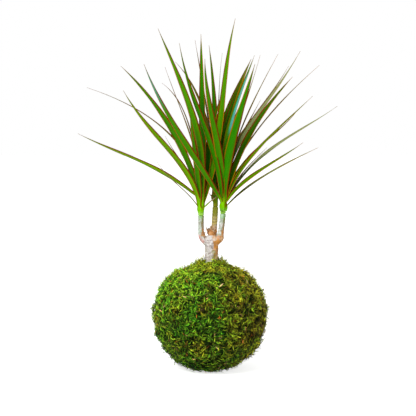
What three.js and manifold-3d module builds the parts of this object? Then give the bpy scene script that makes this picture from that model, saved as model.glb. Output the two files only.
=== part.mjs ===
// A moss ball plant: a ball of soil wrapped in moss, out of which grows a young dragon tree
// with one stubby trunk, three thin canes and a crown of long narrow blades on each cane.
// Millimetres, +Z up. The origin is the middle of the flat spot that the ball rests on,
// and the front of the plant faces -Y.

import * as THREE from 'three';
import { ConvexGeometry } from 'three/addons/geometries/ConvexGeometry.js';
import { LoftGeometry } from 'three/addons/geometries/LoftGeometry.js';
import { mergeVertices } from 'three/addons/utils/BufferGeometryUtils.js';
import Module from 'manifold-3d';

const wasm = await Module();
wasm.setup();

// Clearance kept between pieces that touch in the real plant.
const GAP = 0.3;
// Points of one surface that lie nearer than this are the same point.
const WELD_DISTANCE = 1e-5;

// Moss cover. Its top is a little flatter than a ball.
const MOSS_RADIUS = 56;
const MOSS_CENTRE_HEIGHT = 54.5;
const MOSS_TOP_FLATNESS = 0.03;
const MOSS_TOP_SHARPNESS = 8;
const MOSS_POINTS = 1650;
const POINT_STRAY = 0.8;
const TUFT_COUNT = 300;
const TUFT_RELIEF = 3.2;
const TUFT_ANGLE = 0.125;
const SPRIG_RELIEF = 0.8;
const SPRIG_WAVES = new THREE.Vector3(2.3, 2.9, 2.1);
const MOSS_SEED = 7;

// Soil ball inside the moss, rough with crumbs.
const SOIL_RADIUS = 47.5;
const SOIL_CRUMB = 1;
const CRUMB_WAVES = new THREE.Vector3(0.5, 0.6, 0.55);
const SOIL_DETAIL = 4;

// Root ball, a tapered plug of wound roots as it came out of a nursery pot.
const ROOT_TOP = 96;
const ROOT_BOTTOM = 50;
const ROOT_TOP_RADIUS = 19;
const ROOT_BOTTOM_RADIUS = 14;
const ROOT_RELIEF = 0.9;
const ROOT_STRANDS = 7;
const ROOT_WINDING = 0.16;
const ROOT_SIDES = 28;
const ROOT_RINGS = 8;

// Thread that binds the moss: two loops round the ball, each in its own furrow.
const THREAD_RADIUS = 0.5;
const THREAD_LOOP_RADIUS = 53.2;
const THREAD_LEAN = 48;
const THREAD_TURNS = [35, 155];
const FURROW_FLOOR_HALF_WIDTH = 0.9;
const FURROW_MOUTH_HALF_WIDTH = 2.1;
const FURROW_MOUTH_RADIUS = 60;
const LOOP_STEPS = 32;
const THREAD_SIDES = 4;

// Trunk. Its foot is a plain round peg down to the root ball, and the rest is lumpy bark.
const TRUNK_RADIUS = 6.6;
const TRUNK_FOOT = 84;
const TRUNK_PEG_TOP = 110;
const TRUNK_TOP = 138.5;
const TRUNK_X = 1.6;
const TRUNK_SIDES = 14;
const TRUNK_STEP = 3;
const TRUNK_TOP_ROUNDING = 1.4;
const BARK_RELIEF = 0.35;
// Lumps of the bark: how many go round the trunk, and how far they turn with each millimetre.
const BARK_LUMPS = [{ round: 3, turn: 0.31 }, { round: 5, turn: -0.52 }];

// Canes: their middle lines from inside the trunk up to their crowns, and their radii.
const CANES = {
  left: {
    route: [[-1, -0.5, 127], [-5.6, -1, 130.5], [-8.5, -1, 136.5], [-9, -1, 144], [-9, -1, 155.5]],
    radius: 2.9,
  },
  right: {
    route: [[4, -1, 127], [7.6, -1.6, 130.5], [10.2, -2, 135.5], [11.4, -2, 143], [13, -2, 157.5]],
    radius: 2.9,
  },
  back: {
    route: [[2, 3, 126], [3, 5.5, 133], [4, 7.6, 142], [4.7, 8, 151], [5.5, 8, 163.5]],
    radius: 2.4,
  },
};
const CANE_SIDES = 8;
const SCAR_PITCH = 3.2;
const SCAR_RELIEF = 0.22;

// Dry papery collars round the feet of the canes: where they sit and how far they flare.
const COLLARS = [
  { at: [-8.2, -1, 135.6], lean: 14, foot: 3.1, rim: 3.7, height: 4 },
  { at: [9.8, -2, 134], lean: -18, foot: 3.1, rim: 3.9, height: 5 },
  { at: [3.4, 6.6, 138.5], lean: -5, foot: 2.9, rim: 4.6, height: 6.5 },
];
const COLLAR_THICKNESS = 0.8;
const COLLAR_FLOOR = 0.4;

// Blades: lens-shaped in section, folded up a little along the midrib. A blade is widest a
// third of the way up, and thins and narrows from there to its tip.
const BLADE_THICKNESS = 0.9;
const BLADE_THINNING = 0.35;
const BLADE_TIP_WIDTH = 0.6;
const BLADE_ROOT_WIDTH = 0.42;
const BLADE_WIDEST = 0.35;
const BLADE_TAPER = 1.7;
const BLADE_FOLD = 0.16;
const BLADE_ROWS = 8;
const ROOT_OFFSET = 1.2;

// Green shoots that the blades clasp.
const SHOOT_SIDES = 12;
const SHOOT_RADIUS = 3.1;
const SHOOT_SWELL_RADIUS = 4;
const SHOOT_SWELL_HEIGHT = 9;
const SHOOT_SHOULDER_HEIGHT = 17;
const SHOOT_HEIGHT = 26;

// Blades that the front shows, one row each: the height of the root on the shoot, the points
// a third and two thirds of the way along and at the tip, the width, and the share of the
// width that is turned to the front.
const LEFT_BLADES = [
  [172, [-50, -7, 199.5], [-89, -16, 218.5], [-129, -28, 238], 7, 0.55],
  [161, [-24, -6, 179], [-40, -12, 194.5], [-54, -20, 214], 3, 0.4],
  [162, [-24.5, -14, 203.5], [-54, -34, 240], [-83, -58, 282], 6.5, 0.8],
  [165, [-23, 6, 215], [-54, 16, 263.5], [-90, 28, 304], 7, 0.7],
  [170, [-28, 9, 221], [-70, 22, 258], [-125, 38, 282], 4.5, 0.35],
  [171, [-17, 9, 227], [-29.5, 25, 264], [-49, 45, 286.5], 4.5, 0.3],
  [171, [-15, 4, 217], [-29, 10, 260], [-45, 18, 303], 4.5, 0.3],
  [167, [-19, 3, 192], [-32, 8, 213], [-45, 14, 234], 3.5, 0.35],
  [170, [-11, -8, 229], [-28, -18, 286], [-50.5, -32, 341], 8.5, 0.82],
  [166, [-10.5, -7, 197], [-15.5, -13, 228], [-20, -20, 258], 7.5, 0.8],
  [172, [-7, 1, 225], [-8, 5, 281], [-9, 10, 336], 8.5, 0.8],
  [166, [9, 1, 228], [16, 0, 290], [25, -2, 351], 7, 0.8],
  [161, [-5, -4, 164.5], [0.5, -3, 169.7], [7, 0, 174.5], 3, 0.6],
  [172, [-3, 3, 206], [3, 4, 240], [11, 6, 274], 7, 0.7],
];
const RIGHT_BLADES = [
  [166, [-14.5, -18, 214.5], [-42.5, -38, 260], [-63, -60, 307], 7.5, 0.75],
  [168, [8.5, -15, 217], [-0.5, -34, 265], [-5, -58, 312], 7.5, 0.95],
  [170, [1, -8, 225], [-16, -13, 272], [-30, -20, 327], 8, 0.75],
  [168, [18, -10, 214], [29.2, -27, 259], [43, -50, 307], 9.5, 0.9],
  [170, [15.7, -5, 225], [28.3, -12, 273], [43.3, -23, 315], 7, 0.75],
  [170, [22, 1, 221], [35, 5, 266], [50, 10, 315], 4, 0.3],
  [170, [24, 2, 221], [45, 8, 272], [68, 16, 316], 4, 0.3],
  [170, [27.5, 2, 224], [54.5, 6, 265.5], [90, 11, 319], 7, 0.6],
  [166, [30.5, -4, 218.5], [54, -8, 260], [81, -14, 294], 7.5, 0.75],
  [169, [32, 4, 217], [67, 12, 263.5], [110, 22, 305], 4, 0.3],
  [166, [34, -10, 205.5], [63, -24, 239.8], [99, -42, 276], 5.5, 0.5],
  [166, [32, -7, 206.5], [60, -17, 235], [86, -30, 263], 4.5, 0.4],
  [167, [48, -2, 211], [86, -4, 239], [126, -6, 265], 6, 0.35],
  [165, [32.5, -14, 189], [59, -34, 209.7], [89, -58, 232], 5.5, 0.6],
  [162, [38, -10, 185], [69, -23, 206], [105, -38, 226], 5, 0.35],
  [165, [28, 2, 191], [42, 5, 208], [57, 9, 223], 3.5, 0.35],
];
const BACK_BLADES = [
  [180, [5, 8, 225], [3.5, 9, 274], [-1, 11, 325], 8, 0.75],
  [178, [9.5, 12, 223], [23.3, 19, 267.5], [41.5, 28, 311], 10.5, 0.95],
  [177, [9, 10, 215], [19, 13, 255], [37, 16, 303], 8, 0.9],
  [180, [8.5, 15, 220], [9.2, 26, 270], [12.5, 39, 317], 4.5, 0.3],
  [180, [2, 11, 220], [-6, 16, 275], [-15, 23, 330], 6, 0.35],
  [178, [2, 14, 215], [-9, 23, 264], [-35, 34, 308], 7, 0.6],
  [178, [22, 13, 220], [49, 22, 259], [80, 38, 304], 6, 0.4],
  [177, [22, 14, 215], [36, 20, 242], [51, 27, 270], 5, 0.4],
  [171, [3, 5, 173], [1, 3, 175], [-2, 1, 179], 2.5, 0.8],
];

// Crowns: where each stands on its cane, and the fan of blades on its far side, with the
// bearing of the fan's middle, its spread in degrees and the number of blades in it.
const CROWNS = {
  left: { cane: CANES.left, blades: LEFT_BLADES, bearing: 92, spread: 40, hidden: 6, seed: 1 },
  right: { cane: CANES.right, blades: RIGHT_BLADES, bearing: 65, spread: 24, hidden: 6, seed: 9 },
  back: { cane: CANES.back, blades: BACK_BLADES, bearing: 90, spread: 40, hidden: 6, seed: 3 },
};
const FAN_LENGTH = [70, 110];
const FAN_RISE = [60, 80];
const FAN_WIDTH = [6, 8.5];
const FAN_ARCH = 16;
const FAN_STEEPEST = 84;
const FAN_STRAY = 3;
const FAN_ROOT_HEIGHT = 10;

const UP = new THREE.Vector3(0, 0, 1);
const TO_BACK = new THREE.Vector3(0, 1, 0);

/** A repeatable row of draws between 0 and 1. */
function seededDraws(seed) {
  let state = seed;
  return () => {
    state = (state * 16807) % 2147483647;
    return state / 2147483647;
  };
}

/** The solid that a closed geometry bounds. */
function solidOf(geometry) {
  const bare = new THREE.BufferGeometry().copy(geometry);
  bare.deleteAttribute('normal');
  bare.deleteAttribute('uv');
  const merged = mergeVertices(bare, WELD_DISTANCE);
  return new wasm.Manifold(new wasm.Mesh({
    numProp: 3,
    vertProperties: new Float32Array(merged.attributes.position.array),
    triVerts: new Uint32Array(merged.index.array),
  }));
}

/** The geometry of a solid's surface. */
function geometryOf(solid) {
  const mesh = solid.getMesh();
  const geometry = new THREE.BufferGeometry();
  geometry.setAttribute('position', new THREE.BufferAttribute(mesh.vertProperties, 3));
  geometry.setIndex(new THREE.BufferAttribute(mesh.triVerts, 1));
  return geometry;
}

/** All the solids of a list joined in one. */
function joined(solids) {
  return solids.reduce((whole, solid) => whole.add(solid));
}

/** The main body of a solid, without loose scraps and with its sealed hollows filled. */
function mainBody(solid) {
  const bodies = solid.decompose();
  return bodies.reduce((main, body) => (body.volume() > main.volume() ? body : main));
}

/** Moves every vertex of a geometry to where place(vertex) says. */
function moveVertices(geometry, place) {
  const positions = geometry.attributes.position;
  const vertex = new THREE.Vector3();
  for (let i = 0; i < positions.count; i++) {
    vertex.fromBufferAttribute(positions, i);
    const moved = place(vertex);
    positions.setXYZ(i, moved.x, moved.y, moved.z);
  }
  return geometry;
}

/** Directions spread evenly over a ball, each shifted a little by a draw. */
function spreadDirections(count, draw) {
  const goldenAngle = Math.PI * (3 - Math.sqrt(5));
  const stray = POINT_STRAY / Math.sqrt(count);
  const directions = [];
  for (let i = 0; i < count; i++) {
    const z = 1 - (2 * i + 1) / count;
    const ring = Math.sqrt(1 - z * z);
    const direction = new THREE.Vector3(
      ring * Math.cos(i * goldenAngle) + stray * (2 * draw() - 1),
      ring * Math.sin(i * goldenAngle) + stray * (2 * draw() - 1),
      z + stray * (2 * draw() - 1),
    );
    directions.push(direction.normalize());
  }
  return directions;
}

/** The product of a wave along each axis at a point, from -1 to 1. */
function crossedWaves(point, waves) {
  return Math.sin(point.x * waves.x) * Math.sin(point.y * waves.y) * Math.sin(point.z * waves.z);
}

/** How far the nearest tuft of moss lifts the surface at a direction, from -1 to 1. */
function tuftLift(direction, tufts) {
  let nearest = -1;
  for (const tuft of tufts) {
    nearest = Math.max(nearest, direction.dot(tuft));
  }
  const share = Math.acos(Math.min(1, nearest)) / TUFT_ANGLE;
  return 1 - 2 * Math.min(1, share * share);
}

/** The moss cover's outer surface as a tufted ball. */
function mossBall() {
  const draw = seededDraws(MOSS_SEED);
  const tufts = spreadDirections(TUFT_COUNT, draw);
  const points = spreadDirections(MOSS_POINTS, draw);
  const ball = new ConvexGeometry(points.map((point) => point.multiplyScalar(MOSS_RADIUS)));
  return moveVertices(ball, (vertex) => {
    const direction = vertex.clone().normalize();
    const flatness = MOSS_TOP_FLATNESS * Math.max(0, direction.z) ** MOSS_TOP_SHARPNESS;
    const radius = MOSS_RADIUS * (1 - flatness)
      + (TUFT_RELIEF / 2) * tuftLift(direction, tufts)
      + SPRIG_RELIEF * crossedWaves(vertex, SPRIG_WAVES);
    return direction.multiplyScalar(radius).setZ(direction.z + MOSS_CENTRE_HEIGHT);
  });
}

/** The soil ball's crumbly outside, grown all round by a margin. */
function soilBall(margin) {
  const ball = new THREE.IcosahedronGeometry(SOIL_RADIUS, SOIL_DETAIL);
  return moveVertices(ball, (vertex) => {
    const radius = SOIL_RADIUS + SOIL_CRUMB * crossedWaves(vertex, CRUMB_WAVES) + margin;
    const moved = vertex.clone().setLength(radius);
    return moved.setZ(moved.z + MOSS_CENTRE_HEIGHT);
  });
}

/** An upright round space with the given radii inside its flats, its wide end up. */
function hole(topRadius, bottomRadius, bottom, top, sides) {
  const corner = 1 / Math.cos(Math.PI / sides);
  const geometry = new THREE.CylinderGeometry(
    topRadius * corner, bottomRadius * corner, top - bottom, sides,
  );
  geometry.rotateX(Math.PI / 2);
  return geometry.translate(TRUNK_X, 0, (top + bottom) / 2);
}

/** The root ball's outside: a tapered plug ridged by roots that wind round it. */
function rootBall() {
  const height = ROOT_TOP - ROOT_BOTTOM;
  const geometry = new THREE.CylinderGeometry(
    ROOT_TOP_RADIUS, ROOT_BOTTOM_RADIUS, height, ROOT_SIDES, ROOT_RINGS,
  );
  geometry.rotateX(Math.PI / 2);
  return moveVertices(geometry, (vertex) => {
    const bearing = Math.atan2(vertex.y, vertex.x);
    const winding = Math.sin(ROOT_STRANDS * bearing + ROOT_WINDING * vertex.z * ROOT_STRANDS);
    const reach = Math.hypot(vertex.x, vertex.y);
    const scale = reach > 1 ? (reach + ROOT_RELIEF * (winding - 1)) / reach : 1;
    return new THREE.Vector3(
      vertex.x * scale + TRUNK_X, vertex.y * scale, vertex.z + ROOT_BOTTOM + height / 2,
    );
  });
}

/** Turns a loop that lies flat round the origin into one of the thread's turns. */
function placeLoop(geometry, turn) {
  geometry.rotateX(THREE.MathUtils.degToRad(THREAD_LEAN));
  geometry.rotateZ(THREE.MathUtils.degToRad(turn));
  return geometry.translate(0, 0, MOSS_CENTRE_HEIGHT);
}

/** One loop of the thread. */
function threadLoop(turn) {
  const loop = new THREE.TorusGeometry(
    THREAD_LOOP_RADIUS, THREAD_RADIUS, THREAD_SIDES, LOOP_STEPS,
  );
  return placeLoop(loop, turn);
}

/** The furrow that one loop of the thread pulls into the moss, as the space it takes. */
function furrow(turn) {
  const floor = THREAD_LOOP_RADIUS - THREAD_RADIUS - GAP;
  const section = [
    new THREE.Vector2(floor, -FURROW_FLOOR_HALF_WIDTH),
    new THREE.Vector2(FURROW_MOUTH_RADIUS, -FURROW_MOUTH_HALF_WIDTH),
    new THREE.Vector2(FURROW_MOUTH_RADIUS, FURROW_MOUTH_HALF_WIDTH),
    new THREE.Vector2(floor, FURROW_FLOOR_HALF_WIDTH),
    new THREE.Vector2(floor, -FURROW_FLOOR_HALF_WIDTH),
  ];
  const ring = new THREE.LatheGeometry(section, LOOP_STEPS);
  ring.rotateX(Math.PI / 2);
  return placeLoop(ring, turn);
}

/** A ring of points round a middle, in the plane across a direction. */
function ringOf(middle, direction, sides, radiusAt) {
  const aside = new THREE.Vector3().crossVectors(TO_BACK, direction).normalize();
  const ahead = new THREE.Vector3().crossVectors(direction, aside);
  const ring = [];
  for (let i = 0; i < sides; i++) {
    const angle = (i / sides) * Math.PI * 2;
    const radius = radiusAt(angle);
    ring.push(middle.clone()
      .addScaledVector(aside, radius * Math.cos(angle))
      .addScaledVector(ahead, radius * Math.sin(angle)));
  }
  return ring;
}

/** The trunk from its round foot to its blunt top. */
function trunk() {
  const radiusAt = (height, angle) => {
    if (height <= TRUNK_PEG_TOP) {
      return TRUNK_RADIUS - GAP;
    }
    const lumps = BARK_LUMPS.reduce((sum, lump) => (
      sum + Math.sin(lump.round * angle + lump.turn * height)), 0);
    const rounding = Math.max(0, height - TRUNK_TOP + TRUNK_STEP) / TRUNK_STEP;
    return TRUNK_RADIUS + BARK_RELIEF * lumps - TRUNK_TOP_ROUNDING * rounding;
  };
  const heights = [TRUNK_FOOT + GAP, TRUNK_PEG_TOP];
  for (let height = TRUNK_PEG_TOP + TRUNK_STEP; height < TRUNK_TOP; height += TRUNK_STEP) {
    heights.push(height);
  }
  heights.push(TRUNK_TOP);
  const sections = heights.map((height) => {
    const middle = new THREE.Vector3(TRUNK_X, 0, height);
    return ringOf(middle, UP, TRUNK_SIDES, (angle) => radiusAt(height, angle));
  });
  return new LoftGeometry(sections, { capStart: true, capEnd: true });
}

/** One cane along its route, with a raised ring at each old leaf scar. */
function cane({ route, radius }) {
  const line = new THREE.CatmullRomCurve3(route.map((point) => new THREE.Vector3(...point)));
  const steps = 2 * Math.round(line.getLength() / SCAR_PITCH);
  const sections = [];
  for (let i = 0; i <= steps; i++) {
    const swell = i % 2 === 0 ? SCAR_RELIEF : 0;
    const middle = line.getPointAt(i / steps);
    const direction = i < steps ? line.getTangentAt(i / steps) : UP;
    sections.push(ringOf(middle, direction, CANE_SIDES, () => radius - SCAR_RELIEF / 2 + swell));
  }
  return new LoftGeometry(sections, { capStart: true, capEnd: true });
}

/** One dry collar: a short flared cuff. */
function collar({ at, lean, foot, rim, height }) {
  const cuff = new THREE.LatheGeometry([
    new THREE.Vector2(0, 0),
    new THREE.Vector2(foot, 0),
    new THREE.Vector2(rim, height),
    new THREE.Vector2(rim - COLLAR_THICKNESS, height),
    new THREE.Vector2(foot - COLLAR_THICKNESS, height * COLLAR_FLOOR),
    new THREE.Vector2(0, height * COLLAR_FLOOR),
  ], SHOOT_SIDES);
  cuff.rotateX(Math.PI / 2);
  cuff.rotateY(THREE.MathUtils.degToRad(-lean));
  return cuff.translate(...at);
}

/** The smooth curve that passes four points in even steps. */
function curveThrough(start, lower, upper, end) {
  const firstHandle = new THREE.Vector3()
    .addScaledVector(start, -5 / 6)
    .addScaledVector(lower, 3)
    .addScaledVector(upper, -1.5)
    .addScaledVector(end, 1 / 3);
  const secondHandle = new THREE.Vector3()
    .addScaledVector(start, 1 / 3)
    .addScaledVector(lower, -1.5)
    .addScaledVector(upper, 3)
    .addScaledVector(end, -5 / 6);
  return new THREE.CubicBezierCurve3(start, firstHandle, secondHandle, end);
}

/** Half the width of a blade at a share of its length. */
function halfWidthAt(share, width) {
  const swell = Math.sin(Math.min(1, share / BLADE_WIDEST) * Math.PI / 2);
  const rise = BLADE_ROOT_WIDTH + (1 - BLADE_ROOT_WIDTH) * swell;
  const taper = 1 - Math.max(0, (share - BLADE_WIDEST) / (1 - BLADE_WIDEST)) ** BLADE_TAPER;
  return Math.max(BLADE_TIP_WIDTH / 2, (width / 2) * rise * taper);
}

/** Half the thickness of a blade at a share of its length, on a line at a share of its width. */
function halfThicknessAt(share, atMargin) {
  const isEnd = share < WELD_DISTANCE || share > 1 - WELD_DISTANCE;
  return isEnd ? 0 : (BLADE_THICKNESS / 2) * (1 - atMargin) * (1 - BLADE_THINNING * share);
}

/** The direction across a blade, with the given share of it turned to the front. */
function acrossBlade(tangent, show) {
  if (show === undefined) {
    return new THREE.Vector3().crossVectors(UP, tangent).normalize();
  }
  const inView = new THREE.Vector3().crossVectors(TO_BACK, tangent).normalize();
  const inDepth = new THREE.Vector3().crossVectors(inView, tangent).normalize();
  return inView.multiplyScalar(show).addScaledVector(inDepth, Math.sqrt(1 - show * show));
}

/** One blade as a thin closed solid. Both its faces are split into triangles alike. */
function blade({ root, lower, upper, tip, width, show }) {
  const curve = curveThrough(root, lower, upper, tip);
  const inward = root.clone().sub(tip).setZ(0).normalize().add(UP);
  const middleTangent = curve.getTangent(0.5);
  const middleNormal = middleTangent.clone().cross(acrossBlade(middleTangent, show));
  const hand = middleNormal.dot(inward) < 0 ? -1 : 1;

  const face = (side) => moveVertices(new THREE.PlaneGeometry(2, 1, 2, BLADE_ROWS), (vertex) => {
    const share = 0.5 - vertex.y;
    const tangent = curve.getTangent(share);
    const across = acrossBlade(tangent, show).multiplyScalar(hand);
    const normal = new THREE.Vector3().crossVectors(tangent, across);
    const halfWidth = halfWidthAt(share, width);
    const atMargin = Math.abs(vertex.x);
    const height = BLADE_FOLD * halfWidth * atMargin + side * halfThicknessAt(share, atMargin);
    return curve.getPoint(share)
      .addScaledVector(across, vertex.x * halfWidth)
      .addScaledVector(normal, height);
  });

  const upperFace = face(1);
  const lowerFace = face(-1);
  const offset = upperFace.attributes.position.count;
  const turned = Array.from(lowerFace.index.array).reverse().map((index) => index + offset);
  const positions = [...upperFace.attributes.position.array, ...lowerFace.attributes.position.array];
  const geometry = new THREE.BufferGeometry();
  geometry.setAttribute('position', new THREE.Float32BufferAttribute(positions, 3));
  geometry.setIndex([...upperFace.index.array, ...turned]);
  return geometry;
}

/** A blade of the front from its row, rooted on its shoot. */
function listedBlade([rootHeight, lower, upper, tip, width, show], foot) {
  const root = new THREE.Vector3(foot.x, foot.y, rootHeight);
  const outward = new THREE.Vector3(lower[0] - foot.x, lower[1] - foot.y, 0).normalize();
  root.addScaledVector(outward, ROOT_OFFSET);
  const [low, high, end] = [lower, upper, tip].map((point) => new THREE.Vector3(...point));
  return blade({ root, lower: low, upper: high, tip: end, width, show });
}

/** The point that lies a distance from a start, at a bearing and a rise in degrees. */
function pointAway(start, distance, bearing, rise) {
  const fromTop = THREE.MathUtils.degToRad(90 - rise);
  const heading = THREE.MathUtils.degToRad(90 + bearing);
  const away = new THREE.Vector3().setFromSphericalCoords(distance, fromTop, heading);
  return new THREE.Vector3(away.x, -away.z, away.y).add(start);
}

/** The blades on a crown's far side, spread in a fan and drawn by rule. */
function fanBlades({ bearing, spread, hidden, seed }, foot) {
  const draw = seededDraws(seed);
  const between = ([low, high]) => low + (high - low) * draw();
  const start = foot.clone().setZ(foot.z + FAN_ROOT_HEIGHT);
  const blades = [];
  for (let i = 0; i < hidden; i++) {
    const heading = bearing + spread * ((i + 0.5) / hidden - 0.5) + between([-FAN_STRAY, FAN_STRAY]);
    const length = between(FAN_LENGTH);
    const rise = between(FAN_RISE);
    const width = between(FAN_WIDTH);
    const steep = Math.min(FAN_STEEPEST, rise + FAN_ARCH);
    blades.push(blade({
      root: pointAway(start, ROOT_OFFSET, heading, rise),
      lower: pointAway(start, length / 3, heading, steep),
      upper: pointAway(start, (2 * length) / 3, heading, (rise + steep) / 2),
      tip: pointAway(start, length, heading, rise),
      width,
    }));
  }
  return blades;
}

/** The green shoot that carries a crown's blades. */
function shoot(foot) {
  const profile = new THREE.LatheGeometry([
    new THREE.Vector2(0, 0),
    new THREE.Vector2(SHOOT_RADIUS, 0),
    new THREE.Vector2(SHOOT_SWELL_RADIUS, SHOOT_SWELL_HEIGHT),
    new THREE.Vector2(SHOOT_SWELL_RADIUS, SHOOT_SHOULDER_HEIGHT),
    new THREE.Vector2(0, SHOOT_HEIGHT),
  ], SHOOT_SIDES);
  profile.rotateX(Math.PI / 2);
  return profile.translate(foot.x, foot.y, foot.z);
}

/** A whole crown: its shoot with all its blades grown onto it. */
function crown(settings) {
  const foot = new THREE.Vector3(...settings.cane.route.at(-1));
  foot.z += GAP;
  const listed = settings.blades.map((row) => listedBlade(row, foot));
  const pieces = [shoot(foot), ...listed, ...fanBlades(settings, foot)];
  return geometryOf(mainBody(joined(pieces.map(solidOf))));
}

function mossCover() {
  const trunkHole = hole(TRUNK_RADIUS, TRUNK_RADIUS, TRUNK_FOOT, 2 * MOSS_RADIUS + GAP, TRUNK_SIDES);
  const ground = new THREE.BoxGeometry(4 * MOSS_RADIUS, 4 * MOSS_RADIUS, MOSS_RADIUS);
  ground.translate(0, 0, -MOSS_RADIUS / 2);
  const spaces = [soilBall(GAP), trunkHole, ground, ...THREAD_TURNS.map(furrow)];
  return geometryOf(solidOf(mossBall()).subtract(joined(spaces.map(solidOf))));
}

function soil() {
  const bed = hole(
    ROOT_TOP_RADIUS + GAP, ROOT_BOTTOM_RADIUS + GAP, ROOT_BOTTOM - GAP, ROOT_TOP, ROOT_SIDES,
  );
  const shaft = hole(
    ROOT_TOP_RADIUS + GAP, ROOT_TOP_RADIUS + GAP, ROOT_TOP - 1, 2 * MOSS_RADIUS, ROOT_SIDES,
  );
  return geometryOf(solidOf(soilBall(0)).subtract(solidOf(bed)).subtract(solidOf(shaft)));
}

function roots() {
  const socket = hole(TRUNK_RADIUS, TRUNK_RADIUS, TRUNK_FOOT, ROOT_TOP + 1, TRUNK_SIDES);
  return geometryOf(solidOf(rootBall()).subtract(solidOf(socket)));
}

function thread() {
  return geometryOf(joined(THREAD_TURNS.map((turn) => solidOf(threadLoop(turn)))));
}

function woodyStem() {
  const canes = Object.values(CANES).map(cane);
  return geometryOf(joined([trunk(), ...canes, ...COLLARS.map(collar)].map(solidOf)));
}

/** A named piece in its own finish. */
function piece(name, geometry, color, roughness) {
  const material = new THREE.MeshStandardMaterial({ color, roughness, metalness: 0 });
  const mesh = new THREE.Mesh(geometry, material);
  mesh.name = name;
  return mesh;
}

const plant = new THREE.Group();
plant.add(
  piece('moss_cover', mossCover(), 0x6f8f1e, 0.95),
  piece('soil_ball', soil(), 0x3d2a1c, 0.95),
  piece('root_ball', roots(), 0x9a7a50, 0.9),
  piece('binding_thread', thread(), 0x4a4f2a, 0.85),
  piece('woody_stem', woodyStem(), 0xb9ad95, 0.8),
  piece('leaf_crown_left', crown(CROWNS.left), 0x3f8f1c, 0.45),
  piece('leaf_crown_right', crown(CROWNS.right), 0x3a8a1a, 0.45),
  piece('leaf_crown_back', crown(CROWNS.back), 0x2f7a1a, 0.45),
);

export default plant;
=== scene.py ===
"""The looks of a moss ball plant: a ball of living moss with a young dragon tree in it.

Sizes are in millimetres until a mesh is written, and the frame's origin, front (-Y) and up
(+Z) hold throughout. The moss, the bark and the blades are modelled in mesh code round the
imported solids, from the same sizes, and dressed in procedural finishes.
"""

import logging
import math
from collections.abc import Iterator
from dataclasses import dataclass, field
from enum import Enum
from functools import cache

import bpy
import numpy as np
from bpy.types import ID, Material, Mesh, Node, NodeSocket, NodeTree, Object
from mathutils import Matrix, Vector, noise
from numpy.random import Generator, default_rng


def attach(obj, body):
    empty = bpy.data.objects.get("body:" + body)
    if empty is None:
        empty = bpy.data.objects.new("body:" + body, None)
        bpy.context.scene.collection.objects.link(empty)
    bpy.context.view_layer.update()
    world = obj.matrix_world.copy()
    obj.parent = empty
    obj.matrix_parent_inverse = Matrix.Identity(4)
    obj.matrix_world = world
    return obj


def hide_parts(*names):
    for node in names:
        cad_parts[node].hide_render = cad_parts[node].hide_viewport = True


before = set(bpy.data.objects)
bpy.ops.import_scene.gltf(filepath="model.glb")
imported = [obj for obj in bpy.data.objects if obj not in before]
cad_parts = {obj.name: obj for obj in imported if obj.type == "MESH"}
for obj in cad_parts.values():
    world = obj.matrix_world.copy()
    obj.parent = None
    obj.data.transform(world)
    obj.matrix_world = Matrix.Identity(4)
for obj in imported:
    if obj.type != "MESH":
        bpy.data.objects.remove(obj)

LOG = logging.getLogger("moss_ball_plant")
MM = 0.001
BODY = "root"
UP = np.array([0.0, 0.0, 1.0])
TO_BACK = np.array([0.0, 1.0, 0.0])
LEVEL = np.array([1.0, 1.0, 0.0])
BAKE_MAP = "OFBake"

Array = np.ndarray
Colour = tuple[float, float, float]
Point = tuple[float, float, float]
Span = tuple[float, float]


class Slot(Enum):
    """The record's material slots, which the pieces are passed but which no piece is given."""

    MOSS = "moss"
    BARK = "bark"
    LEAF = "leaf"


class Turned(Enum):
    """How a blade of the hidden fan lies: its width is level."""

    LEVEL = "level"


def screen(red: int, green: int, blue: int) -> Colour:
    """A screen colour as linear light.

    Args:
        red, green, blue: The colour's parts, from 0 to 255.

    Returns:
        The colour's linear parts, from 0 to 1.
    """

    def linear(part: int) -> float:
        """One part of it."""
        share = part / 255
        return share / 12.92 if share <= 0.04045 else ((share + 0.055) / 1.055) ** 2.4

    return linear(red), linear(green), linear(blue)


def smoothstep(low: float, high: float, value: Array) -> Array:
    """Rises smoothly from 0 at low to 1 at high, or falls where high is the lower of the two."""
    share = np.clip((value - low) / (high - low), 0, 1)
    return share * share * (3 - 2 * share)


def unit(vectors: Array) -> Array:
    """The vectors scaled to a length of 1, along the last axis."""
    return vectors / np.maximum(np.linalg.norm(vectors, axis=-1, keepdims=True), 1e-9)


def path_lengths(points: Array) -> Array:
    """How far along a line each of its points lies."""
    return np.concatenate([[0], np.cumsum(np.linalg.norm(np.diff(points, axis=0), axis=1))])


def ring_cells(rings: int, around: int) -> list[list[int]]:
    """The faces of a closed body made of rings of points.

    Args:
        rings: How many rings it has.
        around: How many points each has.

    Returns:
        The point numbers of each face, with a flat face at each end.
    """
    cells = []
    for low in range(0, (rings - 1) * around, around):
        high = low + around
        for i in range(around):
            j = (i + 1) % around
            cells.append([low + i, low + j, high + j, high + i])
    cells.append(list(range(around))[::-1])
    cells.append([(rings - 1) * around + i for i in range(around)])
    return cells


def bake_place(place: Array, number: int, count: int) -> Array:
    """The bake map of one body of so many, each of which has an upright strip of the map."""
    return np.stack([(number + 0.06 + 0.88 * place[:, 0]) / count, 0.01 + 0.98 * place[:, 1]], 1)


def mark_points(mesh: Mesh, mark: str, values: Array) -> None:
    """Keeps a value or a colour at each point of a mesh.

    Args:
        mesh: The mesh.
        mark: The mark's name.
        values: A value or a colour for each point.
    """
    values = values.astype(np.float32)
    if values.ndim == 1:
        mesh.attributes.new(mark, "FLOAT", "POINT").data.foreach_set("value", values)
        return
    full = np.concatenate([values, np.ones((len(values), 1), np.float32)], axis=1)
    mesh.attributes.new(mark, "FLOAT_COLOR", "POINT").data.foreach_set("color", full.ravel())


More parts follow.
